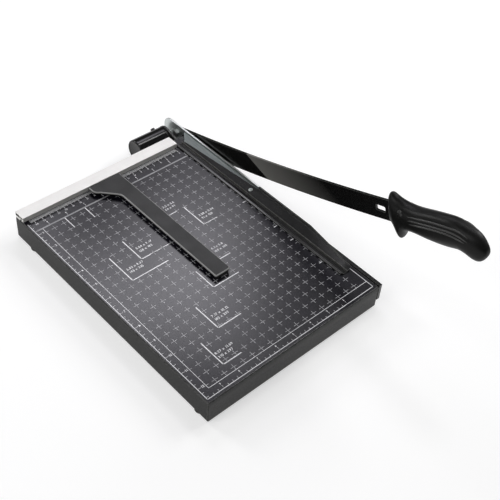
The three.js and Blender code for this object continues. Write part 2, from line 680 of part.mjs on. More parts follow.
// Stations down the grip: shares of its length, and of its half height above and below, and of its half width
const GRIP_STATION_SHARES = [
  [0, 1.28, 0.72, 0.52], [0.03, 1.58, 0.84, 0.64], [0.07, 1.44, 1.3, 0.76], [0.115, 1.22, 1.76, 0.84],
  [0.145, 1.12, 1.66, 0.88], [0.175, 1.05, 1.04, 0.91], [0.25, 0.98, 0.97, 0.94], [0.38, 0.95, 0.98, 0.97],
  [0.51, 1.03, 0.96, 1], [0.64, 1.13, 0.86, 1], [0.75, 1.12, 0.88, 0.98], [0.85, 0.88, 1.18, 0.9],
  [0.925, 0.5, 1.34, 0.74], [0.975, 0.1, 1.24, 0.5], [1, -0.24, 1, 0.22]];

function handleGrip() {
  const front = BLADE_REACH + FIT_GAP;
  const middle = bowAt(BLADE_REACH);
  const rings = GRIP_STATION_SHARES.map(([lengthShare, topShare, footShare, widthShare]) => {
    const top = HANDLE_HALF_HEIGHT * topShare;
    const foot = -HANDLE_HALF_HEIGHT * footShare;
    const centre = (top + foot) / 2;
    return Array.from({ length: GRIP_SIDES }, (_, i) => {
      const angle = 2 * Math.PI * i / GRIP_SIDES;
      const x = bladeMiddle + HANDLE_HALF_WIDTH * widthShare * Math.cos(angle);
      const z = middle + centre + (top - foot) / 2 * Math.sin(angle);
      return new THREE.Vector3(x, -front - HANDLE_LENGTH * lengthShare, z);
    });
  });
  const tangMiddle = middle + BLADE_TANG_RISE;
  const slot = block(bladeLeft - FIT_GAP, bladeRight + FIT_GAP,
    -BLADE_REACH - BLADE_TANG_LENGTH - FIT_GAP, -front + OVERRUN,
    tangMiddle - BLADE_TANG_WIDTH / 2 - FIT_GAP, tangMiddle + BLADE_TANG_WIDTH / 2 + FIT_GAP);
  const rivetY = -BLADE_REACH - HANDLE_RIVET_REACH;
  const rivetZ = middle + HANDLE_RIVET_RISE;
  const seat = handleRivetSeat();
  const hole = throughHole(HANDLE_RIVET_RADIUS, 2 * HANDLE_HALF_WIDTH);
  const cuts = [slot, alongX(hole, bladeMiddle - HANDLE_HALF_WIDTH - OVERRUN, rivetY, rivetZ)];
  for (const start of [bladeMiddle - seat - HANDLE_HALF_WIDTH, bladeMiddle + seat]) {
    const pocket = turned(rodProfile(HANDLE_RIVET_HEAD_RADIUS + FIT_GAP, HANDLE_HALF_WIDTH), ROUND_SIDES);
    cuts.push(alongX(pocket, start, rivetY, rivetZ));
  }
  return piece('handle_grip', combine([skinned(rings)], cuts), blackPlastic);
}

function handleRivetSeat() {
  return HANDLE_HALF_WIDTH - HANDLE_RIVET_HEAD_HEIGHT - HANDLE_RIVET_HEAD_RADIUS;
}

function handleRivet() {
  const seat = handleRivetSeat();
  const head = seat + HANDLE_RIVET_HEAD_HEIGHT;
  const profile = [[0, -head], [HANDLE_RIVET_HEAD_RADIUS, -head], [HANDLE_RIVET_HEAD_RADIUS, -seat],
    [HANDLE_RIVET_RADIUS, -seat], [HANDLE_RIVET_RADIUS, seat], [HANDLE_RIVET_HEAD_RADIUS, seat],
    [HANDLE_RIVET_HEAD_RADIUS, head], [0, head]];
  const rivetY = -BLADE_REACH - HANDLE_RIVET_REACH;
  const rivetZ = bowAt(BLADE_REACH) + HANDLE_RIVET_RISE;
  return piece('handle_rivet', alongX(turned(profile, ROUND_SIDES), bladeMiddle, rivetY, rivetZ), steelPaint);
}

function shaftPieces() {
  const shaft = turned(rodProfile(SHAFT_RADIUS, nutRight + SHAFT_TAIL - collarLeft));
  const washer = () => turned(ringProfile(boreRadius, WASHER_RADIUS, WASHER_THICKNESS));
  const inner = ringProfile(boreRadius, WASHER_RADIUS, bladeLeft - armRight - 2 * SIDE_GAP);
  const collar = turned(ringProfile(boreRadius, COLLAR_RADIUS, COLLAR_LENGTH));
  const nut = hexNut(boreRadius, NUT_RADIUS, NUT_THICKNESS);
  return [
    piece('pivot_shaft', alongX(shaft, collarLeft, 0, 0), zinc),
    piece('shaft_collar', alongX(collar, collarLeft, 0, 0), zinc),
    piece('inner_washer', alongX(turned(inner), armRight + SIDE_GAP, 0, 0), zinc),
    piece('outer_washer', alongX(washer(), bladeRight, 0, 0), zinc),
    piece('lock_nut', alongX(nut, washerRight, 0, 0), zinc)];
}

// Press group: the plated arm and the black bar that holds the paper down
const webLeft = -PRESS_FOOT_LEFT + PRESS_FOOT_WIDTH + PRESS_STEP_WIDTH;
const footTop = FIT_GAP + PRESS_SHEET;
const webFoot = footTop + PRESS_STEP_RISE;
const webSlope = (PRESS_TOP - webFoot) / (-PRESS_RIGHT - webLeft);
const pressFront = PRESS_BACK - PRESS_LENGTH;
const armFront = PRESS_BACK - PRESS_ARM_OVERLAP;

function webTopAt(x) {
  return webFoot + webSlope * (x - webLeft);
}

function rivetAt(profile, start) {
  const x = armRight - RIVET_INSET;
  const geometry = turned(profile, SMALL_SIDES).rotateX(Math.PI / 2).translate(0, 0, start);
  geometry.rotateY(-Math.atan(webSlope));
  return geometry.translate(x, -RIVET_AHEAD, webTopAt(x));
}

// One cross-section of the bar: rounded foot, step, web and hem, its right edge where it is asked for
function pressSection(y, right, top, hemDepth) {
  const slope = (top - webFoot) / (right - webLeft);
  const under = (x) => webFoot + slope * (x - webLeft) - PRESS_SHEET;
  const hemLeft = right - PRESS_HEM_WIDTH;
  const hemFoot = Math.min(top - hemDepth, under(hemLeft) - SIDE_GAP);
  const stepLeft = webLeft - PRESS_STEP_WIDTH;
  const line = [[-PRESS_FOOT_LEFT, footTop], [stepLeft, footTop], [webLeft, webFoot], [right, top],
    [right, hemFoot], [hemLeft, hemFoot], [hemLeft, under(hemLeft)],
    [webLeft + PRESS_SHEET, under(webLeft + PRESS_SHEET)], [stepLeft + PRESS_SHEET, FIT_GAP],
    [-PRESS_FOOT_LEFT, FIT_GAP]];
  return line.map(([x, z]) => new THREE.Vector3(x, y, z));
}

function pressBar() {
  const rings = [
    pressSection(PRESS_BACK, -PRESS_RIGHT, PRESS_TOP, PRESS_HEM_DEPTH),
    pressSection(pressFront + PRESS_TAPER_LENGTH, -PRESS_RIGHT, PRESS_TOP, PRESS_HEM_DEPTH),
    pressSection(pressFront + PRESS_TOE_LENGTH, -PRESS_TOE_RIGHT, PRESS_TOE_TOP, PRESS_TOE_HEM_DEPTH),
    pressSection(pressFront, -PRESS_TOE_RIGHT, PRESS_TOE_TOP, PRESS_TOE_HEM_DEPTH)];
  const flat = rings[0].map((p) => new THREE.Vector2(p.x, p.z));
  const caps = THREE.ShapeUtils.triangulateShape(flat, []).map((face) => [...face].sort((a, b) => a - b));
  const sheet = skinned(rings, caps);
  const bead = turned(rodProfile(PRESS_BEAD_RADIUS, PRESS_LENGTH), SMALL_SIDES);
  bead.rotateX(Math.PI).translate(-PRESS_FOOT_LEFT, PRESS_BACK, FIT_GAP + PRESS_BEAD_RADIUS);
  const above = PRESS_TOP + OVERRUN;
  const left = -PRESS_FOOT_LEFT - PRESS_BEAD_RADIUS;
  const toeLeft = outline([[left - OVERRUN, pressFront - OVERRUN],
    [left + PRESS_TOE_CHAMFER, pressFront - OVERRUN], [left + PRESS_TOE_CHAMFER, pressFront],
    [left, pressFront + PRESS_TOE_CHAMFER],
    [left - OVERRUN, pressFront + PRESS_TOE_CHAMFER]]);
  const right = -PRESS_TOE_RIGHT;
  const toeRight = outline([[right - PRESS_TOE_CHAMFER_WIDTH, pressFront - OVERRUN],
    [right + OVERRUN, pressFront - OVERRUN], [right + OVERRUN, pressFront + PRESS_TOE_CHAMFER_LENGTH],
    [right, pressFront + PRESS_TOE_CHAMFER_LENGTH], [right - PRESS_TOE_CHAMFER_WIDTH, pressFront]]);
  const tip = armFront - FIT_GAP;
  const clearing = outline([[OVERRUN, PRESS_BACK + OVERRUN], [webLeft, PRESS_BACK + OVERRUN],
    [webLeft + PRESS_FOOT_WIDTH / 2, 0], [armLeft - PRESS_HEM_WIDTH * 2, tip * PRESS_BEND_SHARE],
    [armLeft - FIT_GAP, tip], [OVERRUN, tip]]);
  const cuts = [toeLeft, toeRight].map((shape) => pulledUp(shape, 0, above));
  cuts.push(pulledUp(clearing, footTop, above));
  cuts.push(rivetAt(rodProfile(RIVET_RADIUS + FIT_GAP, 2 * PRESS_TOP), -PRESS_TOP));
  return piece('press_bar', combine([sheet, bead], cuts), steelPaint);
}

function pressArm() {
  const ear = new THREE.Shape();
  const back = pivotY + ARM_EAR_RADIUS;
  ear.moveTo(bedBack, ARM_NECK_BOTTOM);
  ear.lineTo(bedBack + ARM_NECK_BACK, pivotZ + ARM_EAR_RADIUS / 2);
  ear.lineTo(pivotY - ARM_EAR_RADIUS, pivotZ);
  ear.absarc(pivotY, pivotZ, ARM_EAR_RADIUS, Math.PI, 2 * Math.PI, false);
  ear.lineTo(back, PRESS_TOP - ARM_EAR_CORNER);
  ear.absarc(back - ARM_EAR_CORNER, PRESS_TOP - ARM_EAR_CORNER, ARM_EAR_CORNER, 0, Math.PI / 2, false);
  ear.lineTo(armFront, PRESS_TOP);
  ear.lineTo(armFront, ARM_NECK_BOTTOM);
  const plate = pulledAlongX(ear, armLeft, armRight);
  const drop = PRESS_SHEET / Math.cos(Math.atan(webSlope)) + SIDE_GAP;
  const lineEnd = armLeft - ARM_WEB_REACH - ARM_WEB;
  const inner = armLeft + ARM_PLATE / 2;
  const line = [[lineEnd, webTopAt(lineEnd) - drop], [inner, webTopAt(inner) - drop]];
  const web = pulledToFront(sheetOutline(line, ARM_WEB), ARM_GUSSET_BACK, ARM_GUSSET_BACK - armFront);
  const plan = outline([[inner, armFront], [inner, ARM_GUSSET_BACK],
    [armLeft, ARM_GUSSET_BACK], [armLeft - ARM_WEB_REACH, ARM_GUSSET_BACK - ARM_GUSSET_LENGTH],
    [armLeft - ARM_WEB_REACH, armFront]]);
  const trimmed = toSolid(web).intersect(toSolid(pulledUp(plan, 0, PRESS_TOP)));
  const bore = turned(rodProfile(boreRadius, ARM_PLATE + 2 * OVERRUN));
  const studHole = throughHole(STUD_RADIUS, ARM_PLATE);
  const cuts = [
    alongX(bore, armLeft - OVERRUN, pivotY, pivotZ),
    alongX(studHole, armLeft - OVERRUN, pivotY - STUD_FORWARD, pivotZ + STUD_RISE),
    rivetAt(rodProfile(RIVET_RADIUS + FIT_GAP, 2 * PRESS_TOP), -PRESS_TOP)];
  return piece('press_arm', combine([plate, fromSolid(trimmed)], cuts), nickel);
}

function pressRivet() {
  const grip = PRESS_SHEET + SIDE_GAP + ARM_WEB;
  const profile = [[0, -grip - RIVET_TAIL_HEIGHT], [RIVET_HEAD_RADIUS, -grip - RIVET_TAIL_HEIGHT],
    [RIVET_HEAD_RADIUS, -grip], [RIVET_RADIUS, -grip], [RIVET_RADIUS, 0], [RIVET_HEAD_RADIUS, 0],
    [RIVET_HEAD_RADIUS / 2, RIVET_HEAD_HEIGHT], [0, RIVET_HEAD_HEIGHT]];
  return piece('press_rivet', rivetAt(profile, 0), nickel);
}

function armStud() {
  const shank = ARM_PLATE - SIDE_GAP;
  const stud = hexBolt(STUD_RADIUS, shank, STUD_HEAD_RADIUS, STUD_HEAD_HEIGHT);
  const x = armLeft - STUD_HEAD_HEIGHT;
  return piece('arm_stud', alongX(stud, x, pivotY - STUD_FORWARD, pivotZ + STUD_RISE), zinc);
}

// Gauge group: the outline of the head and arm, drawn at the fence and drawn in for the slider
function gaugeOutline(inset) {
  const right = -GAUGE_RIGHT - inset;
  const armEdge = -GAUGE_RIGHT - GAUGE_ARM_WIDTH + inset;
  const headEdge = -GAUGE_RIGHT - GAUGE_HEAD_WIDTH + inset;
  const back = FENCE_SETBACK - FIT_GAP;
  const shape = new THREE.Shape();
  shape.moveTo(right, back);
  shape.lineTo(headEdge, back);
  shape.lineTo(headEdge, -GAUGE_HEAD_SIDE + GAUGE_HEAD_CORNER + inset);
  shape.quadraticCurveTo(headEdge, -GAUGE_HEAD_SIDE + inset, headEdge + GAUGE_HEAD_CORNER,
    -GAUGE_HEAD_SIDE - GAUGE_HEAD_CORNER / 2 + inset);
  shape.lineTo(armEdge - GAUGE_SHOULDER / 2, -GAUGE_HEAD_FRONT + inset);
  shape.quadraticCurveTo(armEdge, -GAUGE_HEAD_FRONT - GAUGE_SHOULDER / 2 + inset, armEdge,
    -GAUGE_HEAD_FRONT - GAUGE_SHOULDER);
  shape.lineTo(armEdge, -GAUGE_LENGTH + inset);
  shape.lineTo(right, -GAUGE_LENGTH + inset);
  return shape;
}

function gaugeScrewPlaces() {
  const x = -GAUGE_RIGHT - GAUGE_ARM_WIDTH / 2;
  return GAUGE_SCREW_SHARES.map((share) => ({ x, y: -GAUGE_LENGTH * share }));
}

const gaugePlateFoot = GAUGE_TOP - GAUGE_PLATE;
const gaugeScrewHead = FIT_GAP * 2;

function gaugePlate() {
  const plate = pulledUp(gaugeOutline(0), gaugePlateFoot, GAUGE_TOP);
  const cuts = gaugeScrewPlaces().map((place) => {
    const hole = blindHole(SCREW_RADIUS, GAUGE_PLATE / 2 - FIT_GAP);
    return alongZ(hole, place.x, place.y, gaugePlateFoot - OVERRUN);
  });
  return piece('gauge_plate', combine([plate], cuts), gaugePlastic);
}

function gaugeSlider() {
  const body = pulledUp(gaugeOutline(GAUGE_INSET), FIT_GAP, gaugePlateFoot);
  const left = -GAUGE_RIGHT - GAUGE_HEAD_WIDTH + GAUGE_INSET;
  const right = -GAUGE_RIGHT - GAUGE_INSET;
  const tongueBack = FENCE_SETBACK + FENCE_SLOT_DEPTH - FIT_GAP;
  const tongueTop = FIT_GAP + GAUGE_TONGUE;
  const tongue = block(left, right, -OVERRUN, tongueBack, FIT_GAP, tongueTop);
  const hook = block(left, right, tongueBack - FENCE_HOOK_DEPTH + 2 * FIT_GAP, tongueBack,
    FIT_GAP, tongueTop + FENCE_HOOK_RISE);
  const cuts = [];
  for (const place of gaugeScrewPlaces()) {
    const pocket = rodProfile(SCREW_HEAD_RADIUS + FIT_GAP, gaugeScrewHead + SCREW_HEAD_HEIGHT);
    cuts.push(alongZ(throughHole(SCREW_RADIUS, gaugePlateFoot), place.x, place.y, -OVERRUN));
    cuts.push(alongZ(turned(pocket, SMALL_SIDES), place.x, place.y, 0));
  }
  return piece('gauge_slider', combine([body, tongue, hook], cuts), blackPlastic);
}

function gaugeScrews() {
  const shank = gaugePlateFoot + GAUGE_PLATE / 2 - FIT_GAP - gaugeScrewHead - SCREW_HEAD_HEIGHT;
  return gaugeScrewPlaces().map((place, i) => {
    const screw = turned(screwProfile(shank), SMALL_SIDES);
    return piece(`gauge_screw_${i + 1}`, alongZ(screw, place.x, place.y, gaugeScrewHead), zinc);
  });
}

const base = new THREE.Group();
base.add(bedTray(), fixedKnife(), ...knifeScrews(), fence(), ...fenceScrews(), ...feet());
base.add(pivotBracket(), ...bracketScrews(), shaftBush(), spacerSleeve());
base.add(springHousing(), housingScrew(), balanceSpring());

const bladeGroup = new THREE.Group();
bladeGroup.add(blade(), handleGrip(), handleRivet(), ...shaftPieces());
bladeGroup.position.set(0, pivotY, pivotZ);
bladeGroup.rotation.x = -THREE.MathUtils.degToRad(BLADE_REST_ANGLE);

const pressGroup = new THREE.Group();
pressGroup.add(pressBar(), pressArm(), pressRivet(), armStud());

const gaugeGroup = new THREE.Group();
gaugeGroup.add(gaugePlate(), gaugeSlider(), ...gaugeScrews());

// Stand the cutter on the floor, centred over its own footprint
const cutter = new THREE.Group();
cutter.add(base, bladeGroup, pressGroup, gaugeGroup);
const bounds = new THREE.Box3().setFromObject(cutter, true);
const centre = bounds.getCenter(new THREE.Vector3());
cutter.position.set(-centre.x, -centre.y, -bounds.min.z);

export default cutter;
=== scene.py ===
# Guillotine paper cutter: its finished pieces and finishes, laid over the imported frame.
# Pieces are drawn in millimetres from the cutting line, the fence's front and the top of the bed.
import json
import math

import bmesh
import bpy
from mathutils import Matrix, Vector


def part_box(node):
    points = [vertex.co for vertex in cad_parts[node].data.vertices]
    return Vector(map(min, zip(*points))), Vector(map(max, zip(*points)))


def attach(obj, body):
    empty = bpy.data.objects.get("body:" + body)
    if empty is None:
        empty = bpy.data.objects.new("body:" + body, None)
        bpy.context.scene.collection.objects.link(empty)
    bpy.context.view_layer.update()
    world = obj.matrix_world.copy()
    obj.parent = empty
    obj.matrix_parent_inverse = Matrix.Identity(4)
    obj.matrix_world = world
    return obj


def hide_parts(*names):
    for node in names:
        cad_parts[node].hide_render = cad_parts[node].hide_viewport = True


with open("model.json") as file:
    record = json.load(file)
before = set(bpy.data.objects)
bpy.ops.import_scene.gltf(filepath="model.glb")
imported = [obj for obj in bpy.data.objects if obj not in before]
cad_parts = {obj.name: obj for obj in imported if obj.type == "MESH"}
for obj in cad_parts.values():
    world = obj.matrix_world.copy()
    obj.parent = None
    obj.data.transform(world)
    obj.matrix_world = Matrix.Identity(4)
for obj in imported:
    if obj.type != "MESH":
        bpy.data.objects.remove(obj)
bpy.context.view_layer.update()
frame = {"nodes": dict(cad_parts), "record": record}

MM = 0.001
BED_BACK = 17.7
bed_corner, knife_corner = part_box("base_tray")[1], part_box("lower_knife")[1]
DATUM = Vector((knife_corner.x, bed_corner.y - BED_BACK * MM, bed_corner.z))
TO_ROW = Matrix.Translation(DATUM) @ Matrix.Scale(MM, 4)


def drawn_box(node):
    """A node's box in the drawing's own millimetres."""
    low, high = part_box(node)
    return (low - DATUM) / MM, (high - DATUM) / MM


BED_LOW, BED_HIGH = drawn_box("base_tray")
PIVOT_Y, PIVOT_Z = 41.0, -14.0
PIVOT = (0, PIVOT_Y, PIVOT_Z)
BLADE_TURN = math.radians(-17.85)
TO_BLADE = TO_ROW @ Matrix.Translation(PIVOT) @ Matrix.Rotation(BLADE_TURN, 4, "X")
# The mark of rounded edges that paints and mouldings make lighter, partly for wear and partly as a painted
# highlight
EDGE_MARK = "rubbed_and_highlit_edge"


# ---- Finishes ----

def add_node(tree, kind, inputs=None, **settings):
    """A new node with its settings and the plain values of its inputs."""
    made = tree.nodes.new(kind)
    for name, value in settings.items():
        setattr(made, name, value)
    for name, value in (inputs or {}).items():
        made.inputs[name].default_value = value
    return made


def wire(tree, *links):
    """Joins nodes, each link given as a node, its output, the next node and its input."""
    for source, output, target, into in links:
        tree.links.new(source.outputs[output], target.inputs[into])


def new_group(name, inputs, outputs, input_kind="NodeSocketFloat"):
    """An empty group with its two ends and the piece's own coordinates."""
    tree = bpy.data.node_groups.new(name, "ShaderNodeTree")
    for socket in inputs:
        tree.interface.new_socket(name=socket, in_out="INPUT", socket_type=input_kind)
    for socket in outputs:
        tree.interface.new_socket(name=socket, in_out="OUTPUT", socket_type="NodeSocketFloat")
    place = add_node(tree, "ShaderNodeTexCoord")
    return tree, tree.nodes.new("NodeGroupInput"), tree.nodes.new("NodeGroupOutput"), place


def grain_group():
    """Even grain of a given size: a mask stretched between two levels, and the raw height."""
    tree, given, result, place = new_group("grain", ("Scale", "Low", "High"), ("Mask", "Height"))
    noise = add_node(tree, "ShaderNodeTexNoise", {"Detail": 5.0, "Roughness": 0.6})
    level = add_node(tree, "ShaderNodeMapRange", clamp=True)
    wire(tree, (place, "Object", noise, "Vector"), (given, "Scale", noise, "Scale"),
         (noise, "Fac", level, "Value"), (given, "Low", level, "From Min"),
         (given, "High", level, "From Max"), (level, "Result", result, "Mask"),
         (noise, "Fac", result, "Height"))
    return tree


def brushed_group():
    """Long brush or grinding lines: the three scales say how finely the lines are cut along each axis."""
    tree, given, result, place = new_group("brushed_lines", ("Fineness",), ("Mask", "Height"),
                                           "NodeSocketVector")
    stretch = add_node(tree, "ShaderNodeVectorMath", operation="MULTIPLY")
    noise = add_node(tree, "ShaderNodeTexNoise", {"Scale": 1.0, "Detail": 4.0, "Roughness": 0.65})
    level = add_node(tree, "ShaderNodeMapRange", {"From Min": 0.3, "From Max": 0.7}, clamp=True)
    wire(tree, (place, "Object", stretch, 0), (given, "Fineness", stretch, 1),
         (stretch, "Vector", noise, "Vector"), (noise, "Fac", level, "Value"),
         (level, "Result", result, "Mask"), (noise, "Fac", result, "Height"))
    return tree


def dust_group():
    """Small pale specks and lint, sparse and uneven."""
    tree, given, result, place = new_group("dust", ("Scale", "Size"), ("Mask",))
    spots = add_node(tree, "ShaderNodeTexVoronoi", {"Randomness": 1.0})
    speck = add_node(tree, "ShaderNodeMath", operation="LESS_THAN")
    patches = add_node(tree, "ShaderNodeTexNoise", {"Scale": 60.0, "Detail": 2.0})
    sparse = add_node(tree, "ShaderNodeMapRange", {"From Min": 0.5, "From Max": 0.62}, clamp=True)
    both = add_node(tree, "ShaderNodeMath", operation="MULTIPLY")
    wire(tree, (place, "Object", spots, "Vector"), (place, "Object", patches, "Vector"),
         (given, "Scale", spots, "Scale"), (spots, "Distance", speck, 0), (given, "Size", speck, 1),
         (patches, "Fac", sparse, "Value"), (speck, 0, both, 0), (sparse, "Result", both, 1),
         (both, 0, result, "Mask"))
    return tree


def rubbed_group():
    """Lighter rounded edges, partly where paint or plastic wears thin and partly a painted highlight: the
    bevelled faces carry a mark, broken up by fine noise.
    """
    tree, given, result, place = new_group("rubbed_and_highlit_edges", ("Scale", "Cover"), ("Mask",))
    mark = add_node(tree, "ShaderNodeAttribute", attribute_name=EDGE_MARK)
    noise = add_node(tree, "ShaderNodeTexNoise", {"Detail": 4.0, "Roughness": 0.7})
    level = add_node(tree, "ShaderNodeMapRange", {"From Max": 0.75}, clamp=True)
    both = add_node(tree, "ShaderNodeMath", operation="MULTIPLY")
    wire(tree, (place, "Object", noise, "Vector"), (given, "Scale", noise, "Scale"),
         (given, "Cover", level, "From Min"), (noise, "Fac", level, "Value"), (mark, "Fac", both, 0),
         (level, "Result", both, 1), (both, 0, result, "Mask"))
    return tree


GRAIN, BRUSHED, DUST, RUBBED_AND_HIGHLIT = grain_group(), brushed_group(), dust_group(), rubbed_group()
MIX_FIRST, MIX_SECOND, MIX_RESULT = 6, 7, 2


def new_material(name, **sockets):
    """A material with its plain constants set on the shader's own sockets."""
    material = bpy.data.materials.new(name)
    material.use_nodes = True
    tree = material.node_tree
    shader = tree.nodes["Principled BSDF"]
    for socket, value in sockets.items():
        shader.inputs[socket.replace("_", " ")].default_value = value
    return material, tree, shader


def use_group(tree, group, **inputs):
    """One of the shared effects, with its own values. Its mask is its first output."""
    made = tree.nodes.new("ShaderNodeGroup")
    made.node_tree = group
    for name, value in inputs.items():
        made.inputs[name].default_value = value
    return made


def blend_colours(tree, mask, first, second):
    """Between two colours by a mask; either may itself be a blend of colours."""
    mix = add_node(tree, "ShaderNodeMix", data_type="RGBA")
    wire(tree, (mask, 0, mix, "Factor"))
    for socket, colour in ((MIX_FIRST, first), (MIX_SECOND, second)):
        if isinstance(colour, tuple):
            mix.inputs[socket].default_value = (*colour, 1.0)
        else:
            wire(tree, (colour, MIX_RESULT, mix, socket))
    return mix


def blend_values(tree, mask, low, high):
    """A mask spread between two values."""
    spread = add_node(tree, "ShaderNodeMapRange", {"To Min": low, "To Max": high})
    wire(tree, (mask, 0, spread, "Value"))
    return spread


def dusted(tree, colour, scale, size, share, grey):
    """A blend of colours with dust specks over it."""
    dust = use_group(tree, DUST, Scale=scale, Size=size)
    return blend_colours(tree, blend_values(tree, dust, 0.0, share), colour, (grey, grey, grey))


def lay_finish(tree, shader, colour, gloss, smooth, rough, relief, strength, depth):
    """Gives the shader its colour, a grained gloss and a slight relief."""
    bump = add_node(tree, "ShaderNodeBump", {"Strength": strength, "Distance": depth * MM})
    wire(tree, (colour, MIX_RESULT, shader, "Base Color"),
         (blend_values(tree, gloss, smooth, rough), "Result", shader, "Roughness"),
         (relief, "Height", bump, "Height"), (bump, "Normal", shader, "Normal"))


def paint(name, dark, light, rubbed_and_highlit, smooth, rough, cover=0.35, peel=900.0, peel_strength=0.1, **sockets):
    """Stoved paint on steel: faint cloudiness, fine orange peel, and edges made lighter, partly where the
    coat is thin and partly as a painted highlight along the folds.
    """
    material, tree, shader = new_material(name, **sockets)
    clouds = use_group(tree, GRAIN, Scale=28.0, Low=0.35, High=0.65)
    fine = use_group(tree, GRAIN, Scale=peel, Low=0.35, High=0.65)
    edges = use_group(tree, RUBBED_AND_HIGHLIT, Scale=420.0, Cover=cover)
    worn_and_highlit = blend_colours(tree, edges, blend_colours(tree, clouds, dark, light), rubbed_and_highlit)
    colour = dusted(tree, worn_and_highlit, 700.0, 0.16, 0.35, 0.25)
    lay_finish(tree, shader, colour, fine, smooth, rough, fine, peel_strength, 0.05)
    return material


def metal(name, dark, light, smooth, rough, lines, line_strength=0.12, Metallic=1.0):
    """Bare or plated metal with fine lines left by grinding, drawing or turning."""
    material, tree, shader = new_material(name, Metallic=Metallic)
    brushed = use_group(tree, BRUSHED, Fineness=lines)
    haze = use_group(tree, GRAIN, Scale=60.0, Low=0.3, High=0.7)
    tint = blend_colours(tree, brushed, dark, light)
    colour = blend_colours(tree, blend_values(tree, haze, 0.0, 0.3), tint, tuple(0.8 * c for c in dark))
    lay_finish(tree, shader, colour, brushed, smooth, rough, brushed, line_strength, 0.02)
    return material


def moulded(name, dark, light, smooth, rough, size=1400.0, strength=0.2, rubbed_and_highlit=(0.06, 0.06, 0.06),
            **sockets):
    """Moulded plastic or rubber: fine spark grain, slightly polished where hands and papers rub it, with
    lighter rounded edges that are partly wear and partly a painted highlight.
    """
    material, tree, shader = new_material(name, **sockets)
    fine = use_group(tree, GRAIN, Scale=size, Low=0.3, High=0.7)
    clouds = use_group(tree, GRAIN, Scale=45.0, Low=0.35, High=0.65)
    edges = use_group(tree, RUBBED_AND_HIGHLIT, Scale=300.0, Cover=0.3)
    worn_and_highlit = blend_colours(tree, edges, blend_colours(tree, fine, dark, light), rubbed_and_highlit)
    colour = dusted(tree, worn_and_highlit, 650.0, 0.15, 0.25, 0.2)
    lay_finish(tree, shader, colour, clouds, smooth, rough, fine, strength, 0.06)
    return material


# The blade's painted sheen, a reflection painted into its colour, in metres from the pivot: where it begins,
# where it has died away, its line's slant
PAINTED_SHEEN_BEGINS, PAINTED_SHEEN_DIES, PAINTED_SHEEN_SLANT = (-0.1559, -0.1572), (-0.285, -0.157), -1.394


def blade_finish():
    """Black blade face with a painted reflection: its colour is lighter past a slanting line near the hinge,
    and the painted sheen dies away.
    """
    material, tree, shader = new_material("blade_black", Specular_IOR_Level=0.5)
    place = add_node(tree, "ShaderNodeTexCoord")
    level = add_node(tree, "ShaderNodeMapping", {"Location": TO_ROW @ Vector(PIVOT),
                                                 "Rotation": (BLADE_TURN, 0, 0)}, vector_type="TEXTURE")
    axes = add_node(tree, "ShaderNodeSeparateXYZ")
    slant = add_node(tree, "ShaderNodeMath", {1: PAINTED_SHEEN_SLANT}, operation="MULTIPLY")
    reach = add_node(tree, "ShaderNodeMath", operation="ADD")
    both = add_node(tree, "ShaderNodeMath", operation="MULTIPLY")
    wire(tree, (place, "Object", level, "Vector"), (level, "Vector", axes, "Vector"),
         (axes, "Z", slant, 0), (axes, "Y", reach, 0), (slant, 0, reach, 1))
    for number, (first, last) in enumerate((PAINTED_SHEEN_BEGINS, PAINTED_SHEEN_DIES)):
        ramp = add_node(tree, "ShaderNodeMapRange", {"From Min": first, "From Max": last}, clamp=True)
        wire(tree, (reach, 0, ramp, "Value"), (ramp, "Result", both, number))
    fine = use_group(tree, GRAIN, Scale=240.0, Low=0.3, High=0.7)
    edges = use_group(tree, RUBBED_AND_HIGHLIT, Scale=300.0, Cover=0.2)
    base = blend_colours(tree, fine, (0.003, 0.003, 0.0026), (0.0045, 0.0045, 0.004))
    # Painted reflection: the blade's colour turns lighter past the slanting line, a sheen painted in
    painted_sheen = blend_colours(tree, both, base, (0.19, 0.187, 0.176))
    worn_and_highlit = blend_colours(tree, edges, painted_sheen, (0.12, 0.12, 0.11))
    lay_finish(tree, shader, worn_and_highlit, fine, 0.15, 0.18, fine, 0.01, 0.02)
    return material


def ink(name, thin, full):
    """Screen-printed ink under the bed's clear coat, a little uneven."""
    material, tree, shader = new_material(name, **COAT)
    grain = use_group(tree, GRAIN, Scale=900.0, Low=0.25, High=0.55)
    wear = use_group(tree, GRAIN, Scale=70.0, Low=0.3, High=0.5)
    printed = blend_colours(tree, grain, tuple(0.8 * c for c in full), full)
    colour = blend_colours(tree, wear, thin, printed)
    lay_finish(tree, shader, colour, grain, 0.2, 0.3, grain, 0.05, 0.02)
    return material


COAT = {"Coat_Weight": 1.0, "Coat_Roughness": 0.22, "Specular_IOR_Level": 0.06}
# The lighter colour of painted rounded edges: paint thinned by wear and a painted highlight along the folds
THIN_COAT_AND_HIGHLIGHT = (0.1, 0.1, 0.095)
BED_PAINT = paint("bed_black", (0.0045, 0.0042, 0.007), (0.007, 0.0065, 0.0115), THIN_COAT_AND_HIGHLIGHT, 0.3, 0.4,
                  cover=0.25, peel=600.0, peel_strength=0.03, **COAT)
SKIRT_PAINT = paint("skirt_black", (0.011, 0.011, 0.0105), (0.014, 0.014, 0.013), THIN_COAT_AND_HIGHLIGHT, 0.4, 0.48,
                    cover=0.3, peel=500.0, peel_strength=0.04, Specular_IOR_Level=0.19)
BLACK_PAINT = paint("steel_black", (0.011, 0.011, 0.0105), (0.017, 0.017, 0.016), THIN_COAT_AND_HIGHLIGHT, 0.26, 0.36)
# The bar's edges are made lighter still, a painted highlight line along them
BAR_PAINT = paint("bar_black", (0.006, 0.006, 0.0057), (0.009, 0.009, 0.0085), (0.13, 0.13, 0.125),
                  0.3, 0.4, cover=0.15, peel_strength=0.04, **COAT)
KNIFE_BLACK = paint("knife_black", (0.006, 0.006, 0.006), (0.01, 0.01, 0.01), (0.09, 0.09, 0.085),
                    0.2, 0.3)
BLADE_BLACK = blade_finish()
